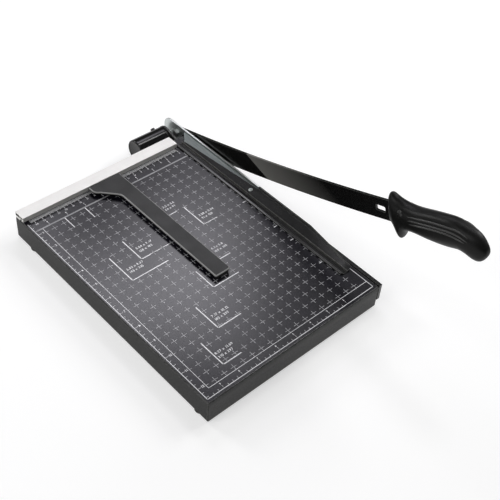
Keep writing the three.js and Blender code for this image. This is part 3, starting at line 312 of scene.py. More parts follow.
# How finely the lines are cut along X, Y and Z: drawn along X, or plated over grinding along Y
DRAWN, PLATED = (25, 1800, 1800), (1400, 50, 900)
GROUND = metal("ground_steel", (0.34, 0.34, 0.33), (0.52, 0.52, 0.5), 0.18, 0.32, (900, 60, 900))
ANODISED = metal("fence_aluminium", (0.9, 0.89, 0.86), (0.97, 0.96, 0.93), 0.4, 0.5, DRAWN, 0.06, 0.5)
# A darker copy of the fence's aluminium as painted shade on its front face
FENCE_FRONT_SHADE = metal("fence_front_painted_shade", (0.6, 0.59, 0.57), (0.72, 0.71, 0.68), 0.4, 0.5, DRAWN, 0.06, 0.35)
# Painted shade: a dark colour for the inner faces of the fence's hollow cells
FENCE_CELL_SHADE = metal("fence_cells_painted_shade", (0.03, 0.03, 0.03), (0.06, 0.06, 0.058), 0.5, 0.6, DRAWN, 0.06)
NICKEL = metal("arm_nickel", (0.5, 0.54, 0.53), (0.66, 0.69, 0.68), 0.3, 0.42, PLATED, 0.05)
# A lighter copy of the nickel as a painted highlight on the arm's upward faces
ARM_NICKEL_HIGHLIGHT = metal("arm_nickel_painted_highlight", (0.78, 0.81, 0.8), (0.9, 0.92, 0.91), 0.3, 0.38, PLATED, 0.02, 0.7)
# A darker copy of the nickel as painted shade on the arm's sloping web
ARM_WEB_NICKEL_SHADE = metal("arm_web_nickel_painted_shade", (0.18, 0.21, 0.205), (0.32, 0.34, 0.335), 0.3, 0.42, PLATED, 0.05)
ZINC = metal("zinc_plate", (0.45, 0.46, 0.46), (0.66, 0.67, 0.67), 0.25, 0.42, (600, 600, 600), 0.15)
BRONZE = metal("bush_bronze", (0.32, 0.2, 0.09), (0.5, 0.34, 0.16), 0.3, 0.45, (900, 120, 120))
GRIP_PLASTIC = moulded("grip_plastic", (0.0035, 0.0035, 0.0033), (0.006, 0.006, 0.0055), 0.36, 0.46,
                       Specular_IOR_Level=0.2)
HOUSING_PLASTIC = moulded("housing_plastic", (0.004, 0.004, 0.004), (0.007, 0.007, 0.007), 0.12, 0.17,
                          strength=0.02, Specular_IOR_Level=0.3)
RIB_PLASTIC = moulded("rib_plastic", (0.03, 0.03, 0.029), (0.06, 0.06, 0.058), 0.3, 0.4,
                      rubbed_and_highlit=(0.1, 0.1, 0.1))
GAUGE_PLASTIC = moulded("gauge_plastic", (0.014, 0.014, 0.014), (0.022, 0.022, 0.022), 0.42, 0.55,
                        rubbed_and_highlit=(0.16, 0.16, 0.16))
# Painted highlight: the pale colour of the gauge's rounded rim
GAUGE_RIM_HIGHLIGHT = moulded("gauge_rim_painted_highlight", (0.3, 0.3, 0.295), (0.4, 0.4, 0.39), 0.4, 0.5, rubbed_and_highlit=(0.3, 0.3, 0.295))
RUBBER = moulded("foot_rubber", (0.008, 0.008, 0.008), (0.014, 0.014, 0.014), 0.75, 0.9, 900.0, 0.35)
INK = ink("print_ink", (0.7, 0.7, 0.72), (0.92, 0.92, 0.94))
GRID_INK = ink("grid_ink", (0.3, 0.3, 0.315), (0.47, 0.47, 0.49))
BAND_INK = ink("band_ink", (0.2, 0.2, 0.21), (0.3, 0.3, 0.31))


# ---- Workshop: shaping and finishing a piece ----

AXES = {"X": lambda d, a, b: (d, a, b), "Y": lambda d, a, b: (a, d, b), "Z": lambda d, a, b: (a, b, d)}


def fresh(draw, *sizes):
    """A new drawing begun with one body."""
    bm = bmesh.new()
    draw(bm, *sizes)
    return bm


def unique(things):
    """Each thing once, in the order in which it first turns up, so that every run draws alike."""
    return list(dict.fromkeys(things))


def parts_of(made, kind):
    """The corners or faces among what an operator made."""
    return [part for part in made["geom"] if isinstance(part, kind)]


def block(bm, x0, x1, y0, y1, z0, z1):
    size = Matrix.Diagonal((x1 - x0, y1 - y0, z1 - z0, 1))
    middle = Matrix.Translation(((x0 + x1) / 2, (y0 + y1) / 2, (z0 + z1) / 2))
    bmesh.ops.create_cube(bm, size=1, matrix=middle @ size)


def loop(bm, points):
    """A closed line through the points."""
    corners = [bm.verts.new(p) for p in points]
    return [bm.edges.new((corners[i - 1], corners[i])) for i in range(len(corners))]


def plate(bm, axis, near, far, outer, holes=()):
    """A flat outline with holes, pulled along one axis into a closed body."""
    at = AXES[axis]
    edges = []
    for outline in (outer, *holes):
        edges += loop(bm, [at(near, a, b) for a, b in outline])
    filled = bmesh.ops.triangle_fill(bm, use_beauty=True, use_dissolve=False, edges=edges)
    pulled = bmesh.ops.extrude_face_region(bm, geom=parts_of(filled, bmesh.types.BMFace))
    moved = parts_of(pulled, bmesh.types.BMVert)
    bmesh.ops.translate(bm, vec=Vector(at(far - near, 0, 0)), verts=moved)
    body = moved + [v for e in edges if e.is_valid for v in e.verts]
    shell = unique(f for v in body for f in v.link_faces)
    bmesh.ops.recalc_face_normals(bm, faces=shell)
    lines = unique(e for f in shell for e in f.edges)
    bmesh.ops.dissolve_limit(bm, angle_limit=0.01, use_dissolve_boundaries=False, verts=[], edges=lines)


def arc(centre_a, centre_b, radius, start, end, steps):
    """Points on an arc, angles in degrees, both ends included."""
    turns = [math.radians(start + (end - start) * i / steps) for i in range(steps + 1)]
    return [(centre_a + radius * math.cos(t), centre_b + radius * math.sin(t)) for t in turns]


def joined_to(corners):
    """The corners and all that edges join to them, in the order in which they are reached."""
    reached, seen = list(corners), set(corners)
    for corner in reached:
        for other in (v for e in corner.link_edges for v in e.verts):
            if other not in seen:
                seen.add(other)
                reached.append(other)
    return reached


def turned(bm, profile, axis, centre, steps=48):
    """Turned work: pairs of radius and distance along the axis, spun right round and closed."""
    at = AXES[axis]
    corners = [bm.verts.new(Vector(at(d, r, 0)) + Vector(centre)) for r, d in profile]
    edges = [bm.edges.new(pair) for pair in zip(corners, corners[1:])]
    bmesh.ops.spin(bm, geom=corners + edges, cent=Vector(centre), axis=Vector(at(1, 0, 0)),
                   dvec=(0, 0, 0), angle=2 * math.pi, steps=steps, use_merge=True, use_duplicate=False)
    body = joined_to(corners)
    bmesh.ops.remove_doubles(bm, verts=body, dist=1e-4)
    shell = unique(f for v in body if v.is_valid for f in v.link_faces)
    bmesh.ops.recalc_face_normals(bm, faces=shell)


def dome(radius, foot, rise):
    """The profile of a shallow dome, from its rim to its top."""
    turns = [math.radians(a) for a in range(0, 91, 15)]
    return [(radius * math.cos(t), foot + rise * math.sin(t)) for t in turns]


def ring(bm, axis, near, far, centre, bore, radius, chamfer=0.3):
    """A turned ring with small chamfers on its outer and bore edges."""
    c = chamfer
    profile = [(bore + c, near), (radius - c, near), (radius, near + c), (radius, far - c),
               (radius - c, far), (bore + c, far), (bore, far - c), (bore, near + c), (bore + c, near)]
    turned(bm, profile, axis, centre)


def add_ring(bm, rings, segments, matrix, ends):
    """Draws the next ring of a skin, closed where the skin ends, and gives back its corners."""
    made = bmesh.ops.create_circle(bm, cap_ends=ends, segments=segments, radius=1, matrix=matrix)
    rings.append(unique(e for v in made["verts"] for e in v.link_edges))
    return made["verts"]


def bridge_last(bm, rings):
    """Skins the last two rings together."""
    if len(rings) > 1:
        bmesh.ops.bridge_loops(bm, edges=rings[-2] + rings[-1])


def soften(bm, width, steps=2, angle=25, only=None, clamp=True):
    """Rounds the sharp edges that are picked, narrower where rounds would meet, and marks them for the
    lighter edge colour, which is partly wear and partly a painted highlight.
    """
    mark = bm.faces.layers.float.get(EDGE_MARK) or bm.faces.layers.float.new(EDGE_MARK)
    bm.normal_update()
    picked = []
    for edge in bm.edges:
        if len(edge.link_faces) != 2 or edge.calc_face_angle(0) < math.radians(angle):
            continue
        if only is None or only(edge):
            picked.append(edge)
    done = bmesh.ops.bevel(bm, geom=picked, offset=width, offset_type="OFFSET", segments=steps,
                           profile=0.5, affect="EDGES", material=-1, clamp_overlap=clamp)
    for face in done["faces"]:
        face[mark] = 1.0


def give_material(bm, number, chosen):
    """Gives one of the piece's materials to the faces whose middle and normal pass a test."""
    for face in bm.faces:
        if chosen(face.calc_center_median(), face.normal):
            face.material_index = number


def to_mesh(bm, name):
    """Turns a drawing into a mesh and clears the drawing away."""
    mesh = bpy.data.meshes.new(name)
    bm.to_mesh(mesh)
    bm.free()
    return mesh


def shown(name, data):
    """A new object in the scene."""
    made = bpy.data.objects.new(name, data)
    bpy.context.scene.collection.objects.link(made)
    return made


def final_mesh(made):
    """A new mesh of an object as its modifiers leave it."""
    bpy.context.view_layer.update()
    return bpy.data.meshes.new_from_object(made.evaluated_get(bpy.context.evaluated_depsgraph_get()))


EVEN_NORMALS = ("WEIGHTED_NORMAL", {"keep_sharp": True, "weight": 50})


def finished(bm, name, body, materials, stands_for=(), place=TO_ROW, sharp=35,
             modifiers=(EVEN_NORMALS,)):
    """Puts the drawn piece in its place in the row frame and hands it to its body."""
    bmesh.ops.transform(bm, matrix=place, verts=bm.verts)
    mesh = to_mesh(bm, name)
    for material in materials:
        mesh.materials.append(material)
    mesh.shade_smooth()
    mesh.set_sharp_from_angle(angle=math.radians(sharp))
    piece = shown(name, mesh)
    for kind, settings in modifiers:
        modifier = piece.modifiers.new(kind.lower(), kind)
        for key, value in settings.items():
            setattr(modifier, key, value)
    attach(piece, body)
    if stands_for:
        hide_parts(*stands_for)


def worked(bm, shape_tool, how="DIFFERENCE"):
    """Cuts, or keeps, a drawn tool's space in a drawn piece, and gives the piece back."""
    work, tool = (shown("blank", to_mesh(source, "blank")) for source in (bm, shape_tool))
    cut = work.modifiers.new("cut", "BOOLEAN")
    cut.object, cut.operation, cut.solver = tool, how, "EXACT"
    ready = final_mesh(work)
    result = bmesh.new()
    result.from_mesh(ready)
    for blank in (work, tool):
        bpy.data.objects.remove(blank)
    bpy.data.meshes.remove(ready)
    return result


def gather(bm, other):
    """Adds a second drawn body to the first."""
    mesh = to_mesh(other, "part")
    bm.from_mesh(mesh)
    bpy.data.meshes.remove(mesh)


# ---- Base ----

FOLD_RADIUS, SHEET = 1.7, 1.5
RETURN, RETURN_END = 18.0, 4.0


def bed_tray():
    """One folded sheet: four skirts, soft folds, and returns turned in at the foot of both long sides."""
    bm = fresh(block, BED_LOW.x, BED_HIGH.x, BED_LOW.y, BED_BACK, BED_LOW.z, 0)
    floor = [f for f in bm.faces if f.normal.z < -0.5]
    bmesh.ops.delete(bm, geom=floor, context="FACES_ONLY")
    for side, inward in ((BED_LOW.x, RETURN), (BED_HIGH.x, -RETURN)):
        hem = [e for e in bm.edges if e.is_boundary and all(abs(v.co.x - side) < 0.1 for v in e.verts)]
        lip = parts_of(bmesh.ops.extrude_edge_only(bm, edges=hem), bmesh.types.BMVert)
        bmesh.ops.translate(bm, vec=(inward, 0, 0), verts=lip)
        for corner in lip:
            corner.co.y += RETURN_END if corner.co.y < 0 else -RETURN_END
    bmesh.ops.recalc_face_normals(bm, faces=bm.faces)
    top = [f for f in bm.faces if abs(f.normal.z) > 0.9 and f.calc_center_median().z > -1][0]
    if top.normal.z < 0:
        bmesh.ops.reverse_faces(bm, faces=bm.faces)
    soften(bm, FOLD_RADIUS, steps=4)
    give_material(bm, 1, lambda middle, normal: abs(normal.z) < 0.3)
    wall = ("SOLIDIFY", {"thickness": SHEET * MM, "offset": -1, "use_even_offset": True})
    finished(bm, "bed_tray", "base", [BED_PAINT, SKIRT_PAINT], ["base_tray"],
             modifiers=[wall, EVEN_NORMALS])


def ground_knife():
    """The fixed knife: a black bar whose cutting corner is ground bright."""
    low, high = drawn_box("lower_knife")
    bm = fresh(block, low.x, high.x, low.y, high.y, low.z, high.z)
    soften(bm, 0.35)
    give_material(bm, 1, lambda middle, normal: middle.x > high.x - 0.4 and middle.z > high.z - 0.5)
    finished(bm, "ground_knife", "base", [KNIFE_BLACK, GROUND], ["lower_knife"])


FENCE_FRONT, FENCE_TOP, FENCE_FOOT, FENCE_WALL = 1.3, 8.0, 0.05, 1.2
FENCE_LIP, LIP_DEPTH = 1.95, 4.0
SLOT_TOP, SLOT_DEPTH = 3.8, 7.0


def oblong(a0, b0, a1, b1):
    return [(a0, b0), (a1, b0), (a1, b1), (a0, b1)]


def fence():
    """An extrusion with two hollow cells and a hooked slot along its foot."""
    low, high = drawn_box("fence_rule")
    front, back, ceiling = FENCE_FRONT, BED_BACK, FENCE_TOP - FENCE_WALL
    outer = [(front, FENCE_LIP), (front + LIP_DEPTH, FENCE_LIP), (front + LIP_DEPTH, SLOT_TOP),
             (front + SLOT_DEPTH, SLOT_TOP), (front + SLOT_DEPTH, FENCE_FOOT), (back, FENCE_FOOT),
             (back, FENCE_TOP), (front, FENCE_TOP)]
    cells = [oblong(front + FENCE_WALL, 5, front + 6.4, ceiling),
             oblong(front + SLOT_DEPTH + 0.6, 3.6, back - FENCE_WALL, ceiling)]
    bm = fresh(plate, "X", low.x, high.x, outer, cells)
    # Painted shade: the inner faces of the hollow cells are dark
    give_material(bm, 1, lambda middle, normal: abs(normal.x) < 0.5 and
                  front + 1 < middle.y < back - 1 and 3 < middle.z < 7)
    # Painted shade: the front faces take the darker copy of the aluminium
    give_material(bm, 2, lambda middle, normal: normal.y < -0.9 and middle.y < front + 0.1)
    # The thinnest wall is just two rounds wide
    soften(bm, 0.3, clamp=False)
    finished(bm, "fence", "base", [ANODISED, FENCE_CELL_SHADE, FENCE_FRONT_SHADE], ["fence_rule"])


def foot(name):
    """A moulded foot with a barbed stem through the return."""
    low, high = drawn_box(name)
    profile = [(0, 0.5), (3.6, 0.5), (4.2, 0), (5.5, 0), (6.2, 0.4), (6.5, 1.1), (6.5, 2.6), (6.1, 3),
               (2.4, 3), (2.4, 4.8), (3.4, 5), (2.5, 7.2), (0, 7.2)]
    bm = fresh(turned, profile, "Z", ((low.x + high.x) / 2, (low.y + high.y) / 2, low.z), 40)
    finished(bm, name + "_moulded", "base", [RUBBER], [name])


PAN_SHANK, PAN_HEAD, PAN_HEIGHT = 1.5, 3.0, 1.8
CROSS_REACH, CROSS_HALF, CROSS_DEPTH = 1.7, 0.35, 0.9


def pan_screw(name, body, node, place, length):
    """A pan head screw with a cross recess: its head's face at the foot, its shank along +Z."""
    radius, head, height = PAN_SHANK, PAN_HEAD, PAN_HEIGHT
    profile = [(0, 0), (head * 0.6, 0), (head * 0.86, height * 0.2), (head, height * 0.6), (head, height),
               (radius, height), (radius, height + length - 0.6), (radius - 0.6, height + length),
               (0, height + length)]
    bm = fresh(turned, profile, "Z", (0, 0, 0), 24)
    for a, b in ((CROSS_REACH, CROSS_HALF), (CROSS_HALF, CROSS_REACH)):
        bm = worked(bm, fresh(block, -a, a, -b, b, -1, CROSS_DEPTH))
    finished(bm, name, body, [ZINC], [node], TO_ROW @ place)


def base_screws():
    """The knife's screws lie along X, the fence's stand along Z."""
    for number in range(1, 5):
        low, high = drawn_box(f"knife_screw_{number}")
        centre = (low + high) / 2
        place = Matrix.Translation((low.x, centre.y, centre.z)) @ Matrix.Rotation(math.pi / 2, 4, "Y")
        pan_screw(f"knife_pan_screw_{number}", "base", f"knife_screw_{number}", place,
                  high.x - low.x - PAN_HEIGHT)
    for number in range(1, 4):
        low, high = drawn_box(f"fence_screw_{number}")
        centre = (low + high) / 2
        place = Matrix.Translation((centre.x, centre.y, low.z))
        pan_screw(f"fence_pan_screw_{number}", "base", f"fence_screw_{number}", place,
                  high.z - low.z - PAN_HEIGHT)


def hex_work(axis, near, far, centre, radius, bore=0, both=False):
    """A hexagon head or nut whose corners are turned off on its outer face, or on both."""
    a, b = centre
    sense = 1 if far > near else -1
    slope = radius * 0.13
    profile = [(bore, near), (radius - slope * 1.6 if both else radius, near)]
    if both:
        profile.append((radius, near + sense * slope))
    profile += [(radius, far - sense * slope), (radius - slope * 1.6, far), (bore, far)]
    if bore:
        profile.append((bore, near))
    hexagon = fresh(plate, axis, near, far, arc(a, b, radius, 90, 390, 5))
    return worked(hexagon, fresh(turned, profile, axis, AXES[axis](0, a, b)), "INTERSECT")


# ---- Pivot ----

EAR_RIGHT, EAR_LEFT, BOSS_LEFT = -12.0, -15.0, -29.0
EAR_RADIUS, BRACKET_SHEET, BRACKET_FOLD = 16.0, 3.0, 4.0
BRACKET_FOOT, BRACKET_TOP, BRACKET_END, BRACKET_CORNER = -27.0, -5.0, -60.0, 3.0
SHAFT_BORE, BUSH_RADIUS = 5.3, 7.0


def pivot_bracket():
    """Bent steel: a plate behind the skirt, an ear round the pivot, and a boss for the housing."""
    bm = bmesh.new()
    back, low, high, cut = BED_BACK, BRACKET_FOOT, BRACKET_TOP, BRACKET_CORNER
    fold = [bm.verts.new((EAR_RIGHT, back, z)) for z in (low, high)]
    rim = [(PIVOT_Y, PIVOT_Z - EAR_RADIUS)] + arc(PIVOT_Y, PIVOT_Z, EAR_RADIUS, -78, 90, 14)
    ear = [fold[0]] + [bm.verts.new((EAR_RIGHT, y, z)) for y, z in rim] + [fold[1]]
    end = [(BRACKET_END + cut, high), (BRACKET_END, high - cut), (BRACKET_END, low + cut),
           (BRACKET_END + cut, low)]
    wing = [fold[1]] + [bm.verts.new((x, back, z)) for x, z in end] + [fold[0]]
    bmesh.ops.contextual_create(bm, geom=ear)
    bmesh.ops.contextual_create(bm, geom=wing)
    bend = [e for e in bm.edges if set(e.verts) == set(fold)]
    bmesh.ops.bevel(bm, geom=bend, offset=BRACKET_FOLD, offset_type="OFFSET", segments=5, profile=0.5,
                    affect="EDGES", material=-1)
    bmesh.ops.recalc_face_normals(bm, faces=bm.faces)
    outer = [f for f in bm.faces if abs(f.normal.x) > 0.9]
    if outer[0].normal.x < 0:
        bmesh.ops.reverse_faces(bm, faces=bm.faces)
    bmesh.ops.solidify(bm, geom=bm.faces, thickness=BRACKET_SHEET)
    soften(bm, 0.4, angle=50)
    gather(bm, fresh(ring, "X", BOSS_LEFT, EAR_LEFT + 1, PIVOT, 7.2, 13.2, 0.6))
    finished(bm, "folded_bracket", "base", [BLACK_PAINT], ["pivot_bracket"])


def bracket_fasteners():
    """Two bolts through the bracket and the skirt, with nuts inside."""
    z = -22.0
    bolt = [(0, 13.2), (2.0, 13.2), (2.5, 13.7), (2.5, 20.8), (0, 20.8)]
    for number, x in ((1, -50.0), (2, -25.0)):
        head = hex_work("Y", 20.7, 23.7, (x, z), 4.2)
        turned(head, bolt, "Y", (x, 0, z), 24)
        finished(head, f"bracket_bolt_{number}", "base", [ZINC], [f"bracket_screw_{number}"])
        nut = hex_work("Y", 16.2, 13.0, (x, z), 4.2, 2.6)
        finished(nut, f"bracket_hex_nut_{number}", "base", [ZINC], [f"bracket_nut_{number}"])


def bearings():
    """The bush in the ear and boss, and the sleeve that keeps the press arm off the ear."""
    low, high = drawn_box("spacer_sleeve")
    bm = fresh(ring, "X", BOSS_LEFT, EAR_RIGHT, PIVOT, SHAFT_BORE, BUSH_RADIUS, 0.4)
    finished(bm, "turned_bush", "base", [BRONZE], ["shaft_bush"])
    bm = fresh(ring, "X", low.x, high.x, PIVOT, SHAFT_BORE, BUSH_RADIUS, 0.4)
    finished(bm, "turned_sleeve", "base", [ZINC], ["spacer_sleeve"])


HOUSING_LEFT, HOUSING_RIGHT, HOUSING_RADIUS = -63.5, -18.0, 15.8
HOUSING_WALL, HOUSING_RIM, HOUSING_END = 2.3, 1.5, 2.6


def spring_housing():
    """A moulded tube with a slightly dished closed end inside a rounded rim."""
    left, right, out, rim = HOUSING_LEFT, HOUSING_RIGHT, HOUSING_RADIUS, HOUSING_RIM
    bore = out - HOUSING_WALL
    profile = [(0, left + 0.7), (12.2, left + 0.7), (12.8, left + 0.2), (13.4, left)]
    profile += [(out - rim + rim * math.cos(t), left + rim - rim * math.sin(t))
                for t in (math.radians(a) for a in (90, 60, 30, 0))]
    profile += [(out, right - 0.5), (out - 0.4, right), (bore + 0.4, right), (bore, right - 0.4),
                (bore, left + HOUSING_END), (0, left + HOUSING_END)]
    bm = fresh(turned, profile, "X", PIVOT, 72)
    finished(bm, "moulded_housing", "base", [HOUSING_PLASTIC], ["spring_housing"],
             sharp=40)


def housing_screw():
    """A slotted cheese head screw, radial in the housing's upper back."""
    profile = [(0, 10.1), (1.4, 10.1), (1.8, 10.5), (1.8, 15.8), (3, 15.8), (3, 17.4), (2.4, 18.2),
               (0, 18.2)]
    bm = worked(fresh(turned, profile, "Z", (0, 0, 0), 28), fresh(block, -4, 4, -0.4, 0.4, 17.3, 19))
    lean = Matrix.Rotation(math.radians(35 - 90), 4, "X")
    place = TO_ROW @ Matrix.Translation((HOUSING_RIGHT - 7, PIVOT_Y, PIVOT_Z)) @ lean
    finished(bm, "slotted_housing_screw", "base", [BLACK_PAINT], ["housing_screw"], place)


# ---- Blade, drawn level with the pivot at its own origin ----

BLADE_LEFT, BLADE_RIGHT, BLADE_REACH, BLADE_HALF = 0.3, 3.4, 371.3, 12.25
BLADE_MIDDLE = (BLADE_LEFT + BLADE_RIGHT) / 2
BLADE_START, LUG_RADIUS, BEVEL_TOP, EDGE_FLAT = 16.0, 13.5, -5.25, 0.5
TANG_LENGTH, TANG_HALF = 78.0, 10.0
LATCH_REACH, LATCH_LONG, LATCH_TALL, LATCH_CORNER = 358.2, 5.0, 1.8, 1.5


def bow(reach):
    """How far the blade's middle line stands above the level through the pivot."""
    return 0.6 + ((reach - 172.0) ** 2 - 172.0 ** 2) / 6200.0


def blade_wedge(places):
    """What is ground off along the lower edge: a three-sided band that follows the bow."""
    bevel = [(BLADE_RIGHT + 1, BEVEL_TOP), (BLADE_RIGHT, BEVEL_TOP), (BLADE_LEFT + EDGE_FLAT, -BLADE_HALF),
             (BLADE_LEFT + EDGE_FLAT, -BLADE_HALF - 1), (BLADE_RIGHT + 1, -BLADE_HALF - 1)]
    wedge = bmesh.new()
    rings = []
    for reach in places:
        rings.append(loop(wedge, [(x, -reach, bow(reach) + z) for x, z in bevel]))
        bridge_last(wedge, rings)
    for edges in (rings[0], rings[-1]):
        bmesh.ops.contextual_create(wedge, geom=unique(v for e in edges for v in e.verts))
    bmesh.ops.recalc_face_normals(wedge, faces=wedge.faces)
    return wedge


def blade_arm():
    """The bowed blade: one plate with a round lug, a tang, a catch hole and a ground lower edge."""
    places = [BLADE_START + (BLADE_REACH - BLADE_START) * i / 30 for i in range(31)]
    top = [(-r, bow(r) + BLADE_HALF) for r in places]
    foot = [(-r, bow(r) - BLADE_HALF) for r in reversed(places)]
    tang, end = bow(BLADE_REACH) + 1.5, BLADE_REACH + TANG_LENGTH
    grip_end = [(-BLADE_REACH, tang + TANG_HALF), (-end, tang + TANG_HALF), (-end, tang - TANG_HALF),
                (-BLADE_REACH, tang - TANG_HALF)]
    lug = arc(0, 0, LUG_RADIUS, -112, 112, 28)
    hole = []
    for along, up, start in ((1, 1, 0), (-1, 1, 90), (-1, -1, 180), (1, -1, 270)):
        hole += arc(-LATCH_REACH + LATCH_LONG * along, bow(LATCH_REACH) + LATCH_TALL * up, LATCH_CORNER,
                    start, start + 90, 4)
    bore = arc(0, 0, SHAFT_BORE, 0, 345, 23)
    rivet = arc(-BLADE_REACH - 20.5, bow(BLADE_REACH) + 7.5, 2.5, 0, 330, 11)
    bm = fresh(plate, "X", BLADE_LEFT, BLADE_RIGHT, top + grip_end + foot + lug, [hole, bore, rivet])
    bm = worked(bm, blade_wedge(places))
    bm.normal_update()
    give_material(bm, 1, lambda middle, normal: normal.z < -0.2 and normal.x > 0.2 and middle.y < -10)
    give_material(bm, 1, lambda middle, normal: normal.z < -0.9 and middle.x < 1 and
                  -BLADE_REACH < middle.y < -12)
    soften(bm, 0.3, angle=50, only=lambda e: all(v.co.z > bow(-v.co.y) - 4 for v in e.verts))
    finished(bm, "bowed_blade", "blade", [BLADE_BLACK, GROUND], ["blade_arm"], TO_BLADE)


# Down the grip: reach, top, foot, half width
GRIP_STATIONS = [
    (371.7, 21.3, -8.8, 3.6), (372.3, 24.0, -10.3, 5.2), (374.2, 26.3, -11.4, 7.0),
    (376.6, 26.2, -12.6, 8.3), (379.8, 23.9, -15.7, 9.4), (382.8, 22.4, -21.7, 10.0),
    (385.6, 21.5, -27.0, 10.4), (388.4, 20.4, -22.6, 10.7), (391.2, 19.3, -16.6, 11.0),
    (394.0, 18.5, -13.4, 11.2), (398.0, 17.9, -12.2, 11.5), (404.0, 17.3, -11.5, 11.8),
    (412.0, 17.6, -11.8, 12.0), (422.0, 18.9, -13.0, 12.0), (433.0, 20.0, -13.5, 12.0),
    (444.0, 20.8, -13.5, 12.0), (454.0, 21.3, -12.7, 12.0), (463.0, 19.3, -10.8, 12.0),
    (471.0, 16.7, -13.0, 11.7), (478.0, 14.4, -17.4, 10.7), (484.0, 11.2, -18.4, 9.3),
    (488.6, 5.6, -15.4, 7.4), (491.8, 0.6, -10.7, 5.2), (493.4, -2.9, -8.0, 3.0)]
# Down each rib: reach and rise
GRIP_RIBS = [
    [(400, 9.5), (408, 10.4), (417.1, 11.3), (425, 12.3), (433.7, 13.1), (442, 13.6), (449.9, 13.9),
     (456, 14.1), (461.8, 13.9), (466, 13.2), (469.5, 12.0), (473.6, 10.2), (477.1, 8.2)],
    [(399.7, 5.5), (408, 6.5), (416.8, 7.4), (425, 8.2), (433.5, 8.8), (442, 9.6), (449.7, 10.1),
     (456, 10.3), (461.6, 9.9), (466, 9.2), (470.3, 7.7), (475, 5.6), (478.9, 3.4)],
    [(401.6, 1.8), (409, 3.0), (416.6, 4.0), (425, 5.1), (433.3, 5.9), (442, 6.7), (449.6, 7.1),
     (456, 7.1), (461.5, 6.6), (465.6, 5.9), (469.3, 5.0), (472, 4.0), (474.5, 2.9)]]
GRIP_ROUND = 2.3
RIB_SUNK, RIB_WIDE, RIB_TALL = 0.4, 1.0, 1.15
UPRIGHT = Matrix.Rotation(math.pi / 2, 4, "X")


def grip_at(reach):
    """The grip's top, foot and half width at a reach, between the stations."""
    for first, second in zip(GRIP_STATIONS, GRIP_STATIONS[1:]):
        if first[0] <= reach <= second[0]:
            share = (reach - first[0]) / (second[0] - first[0])
            return [a + (b - a) * share for a, b in zip(first[1:], second[1:])]


def grip_side(reach, rise):
    """How far the grip's side stands out from its middle plane at a place on it."""
    top, foot, wide = grip_at(reach)
    share = min(abs(rise - (top + foot) / 2) / ((top - foot) / 2), 0.98)
    return wide * (1 - share ** GRIP_ROUND) ** (1 / GRIP_ROUND)


def smoothed(levels):
    return [("SUBSURF", {"levels": levels, "render_levels": levels})]


def handle_grip():
    """The moulded grip, skinned over its stations, with a horn above and a guard below."""
    bm = bmesh.new()
    rings = []
    for number, (reach, top, foot, wide) in enumerate(GRIP_STATIONS):
        place = Matrix.Translation((BLADE_MIDDLE, -reach, (top + foot) / 2)) @ UPRIGHT
        ends = number in (0, len(GRIP_STATIONS) - 1)
        for corner in add_ring(bm, rings, 28, Matrix.Identity(4), ends):
            a, b = corner.co.x, corner.co.y
            size = (abs(a) ** GRIP_ROUND + abs(b) ** GRIP_ROUND) ** (-1 / GRIP_ROUND)
            corner.co = place @ Vector((a * size * wide, b * size * (top - foot) / 2, 0))
        bridge_last(bm, rings)
    bmesh.ops.recalc_face_normals(bm, faces=bm.faces)
    finished(bm, "moulded_grip", "blade", [GRIP_PLASTIC], ["handle_grip"], TO_BLADE,
             sharp=60, modifiers=smoothed(2))


def grip_ribs():
    """Three slim ribs along each side of the grip, half sunk in it and thinning to their ends."""
    bm = bmesh.new()
    for side in (-1, 1):
        for line in GRIP_RIBS:
            rings = []
            for number, (reach, rise) in enumerate(line):
                share = number / (len(line) - 1)
                size = max(min(1.0, share * 9, (1 - share) * 4.5), 0.15)
                x = BLADE_MIDDLE + side * (grip_side(reach, rise) - RIB_SUNK)
                place = Matrix.Translation((x, -reach, rise)) @ UPRIGHT
                place = place @ Matrix.Diagonal((RIB_WIDE * size, RIB_TALL * size, 1, 1))
                add_ring(bm, rings, 10, place, number in (0, len(line) - 1))
                bridge_last(bm, rings)
    bmesh.ops.recalc_face_normals(bm, faces=bm.faces)
    finished(bm, "grip_ribs", "blade", [RIB_PLASTIC], (), TO_BLADE, sharp=60,
             modifiers=smoothed(1))


def handle_rivet():
    """A shank through grip and tang under a shallow dome on each side."""
    reach, rise = BLADE_REACH + 20.9, bow(BLADE_REACH) + 7.8
    out = grip_side(reach, rise)
    half = [(0, 0), (2.2, 0), (2.2, out - 2.4), (3.6, out - 1.6)] + dome(3.6, out - 0.3, 1.5)
    bm = bmesh.new()
    for side in (1, -1):
        turned(bm, [(r, side * d) for r, d in half], "X", (BLADE_MIDDLE, -reach, rise), 32)
    finished(bm, "domed_handle_rivet", "blade", [BLACK_PAINT], ["handle_rivet"], TO_BLADE,
             sharp=50)


SHAFT_LEFT, SHAFT_RADIUS = -60.2, 5.0
# Rings on the shaft: piece, node, left face, right face, bore, radius, chamfer
SHAFT_RINGS = [
    ("turned_collar", "shaft_collar", SHAFT_LEFT, SHAFT_LEFT + 3, 5.05, 9, 0.5),
    ("pressed_inner_washer", "inner_washer", -1.4, 0.2, SHAFT_BORE, 9.5, 0.2),
    ("pressed_outer_washer", "outer_washer", 3.4, 4.6, SHAFT_BORE, 9.5, 0.25)]


def blade_bearing():
    """The shaft with its collar, washers and lock nut."""
    left, radius = SHAFT_LEFT, SHAFT_RADIUS
    profile = [(0, left), (radius - 0.6, left), (radius, left + 0.6), (radius, 8.9), (4.6, 9.1),
               (4.6, 9.35), (radius, 9.6), (4.5, 10.4), (0, 10.4)]
    bm = fresh(turned, profile, "X", (0, 0, 0), 40)
    finished(bm, "turned_shaft", "blade", [ZINC], ["pivot_shaft"], TO_BLADE)
    for name, node, near, far, bore, radius, chamfer in SHAFT_RINGS:
        bm = fresh(ring, "X", near, far, (0, 0, 0), bore, radius, chamfer)
        finished(bm, name, "blade", [ZINC], [node], TO_BLADE)
    nut = hex_work("X", 4.6, 9.2, (0, 0), 8.4, 5.1, both=True)
    finished(nut, "chamfered_lock_nut", "blade", [ZINC], ["lock_nut"], TO_BLADE)


# ---- Press bar and its arm ----

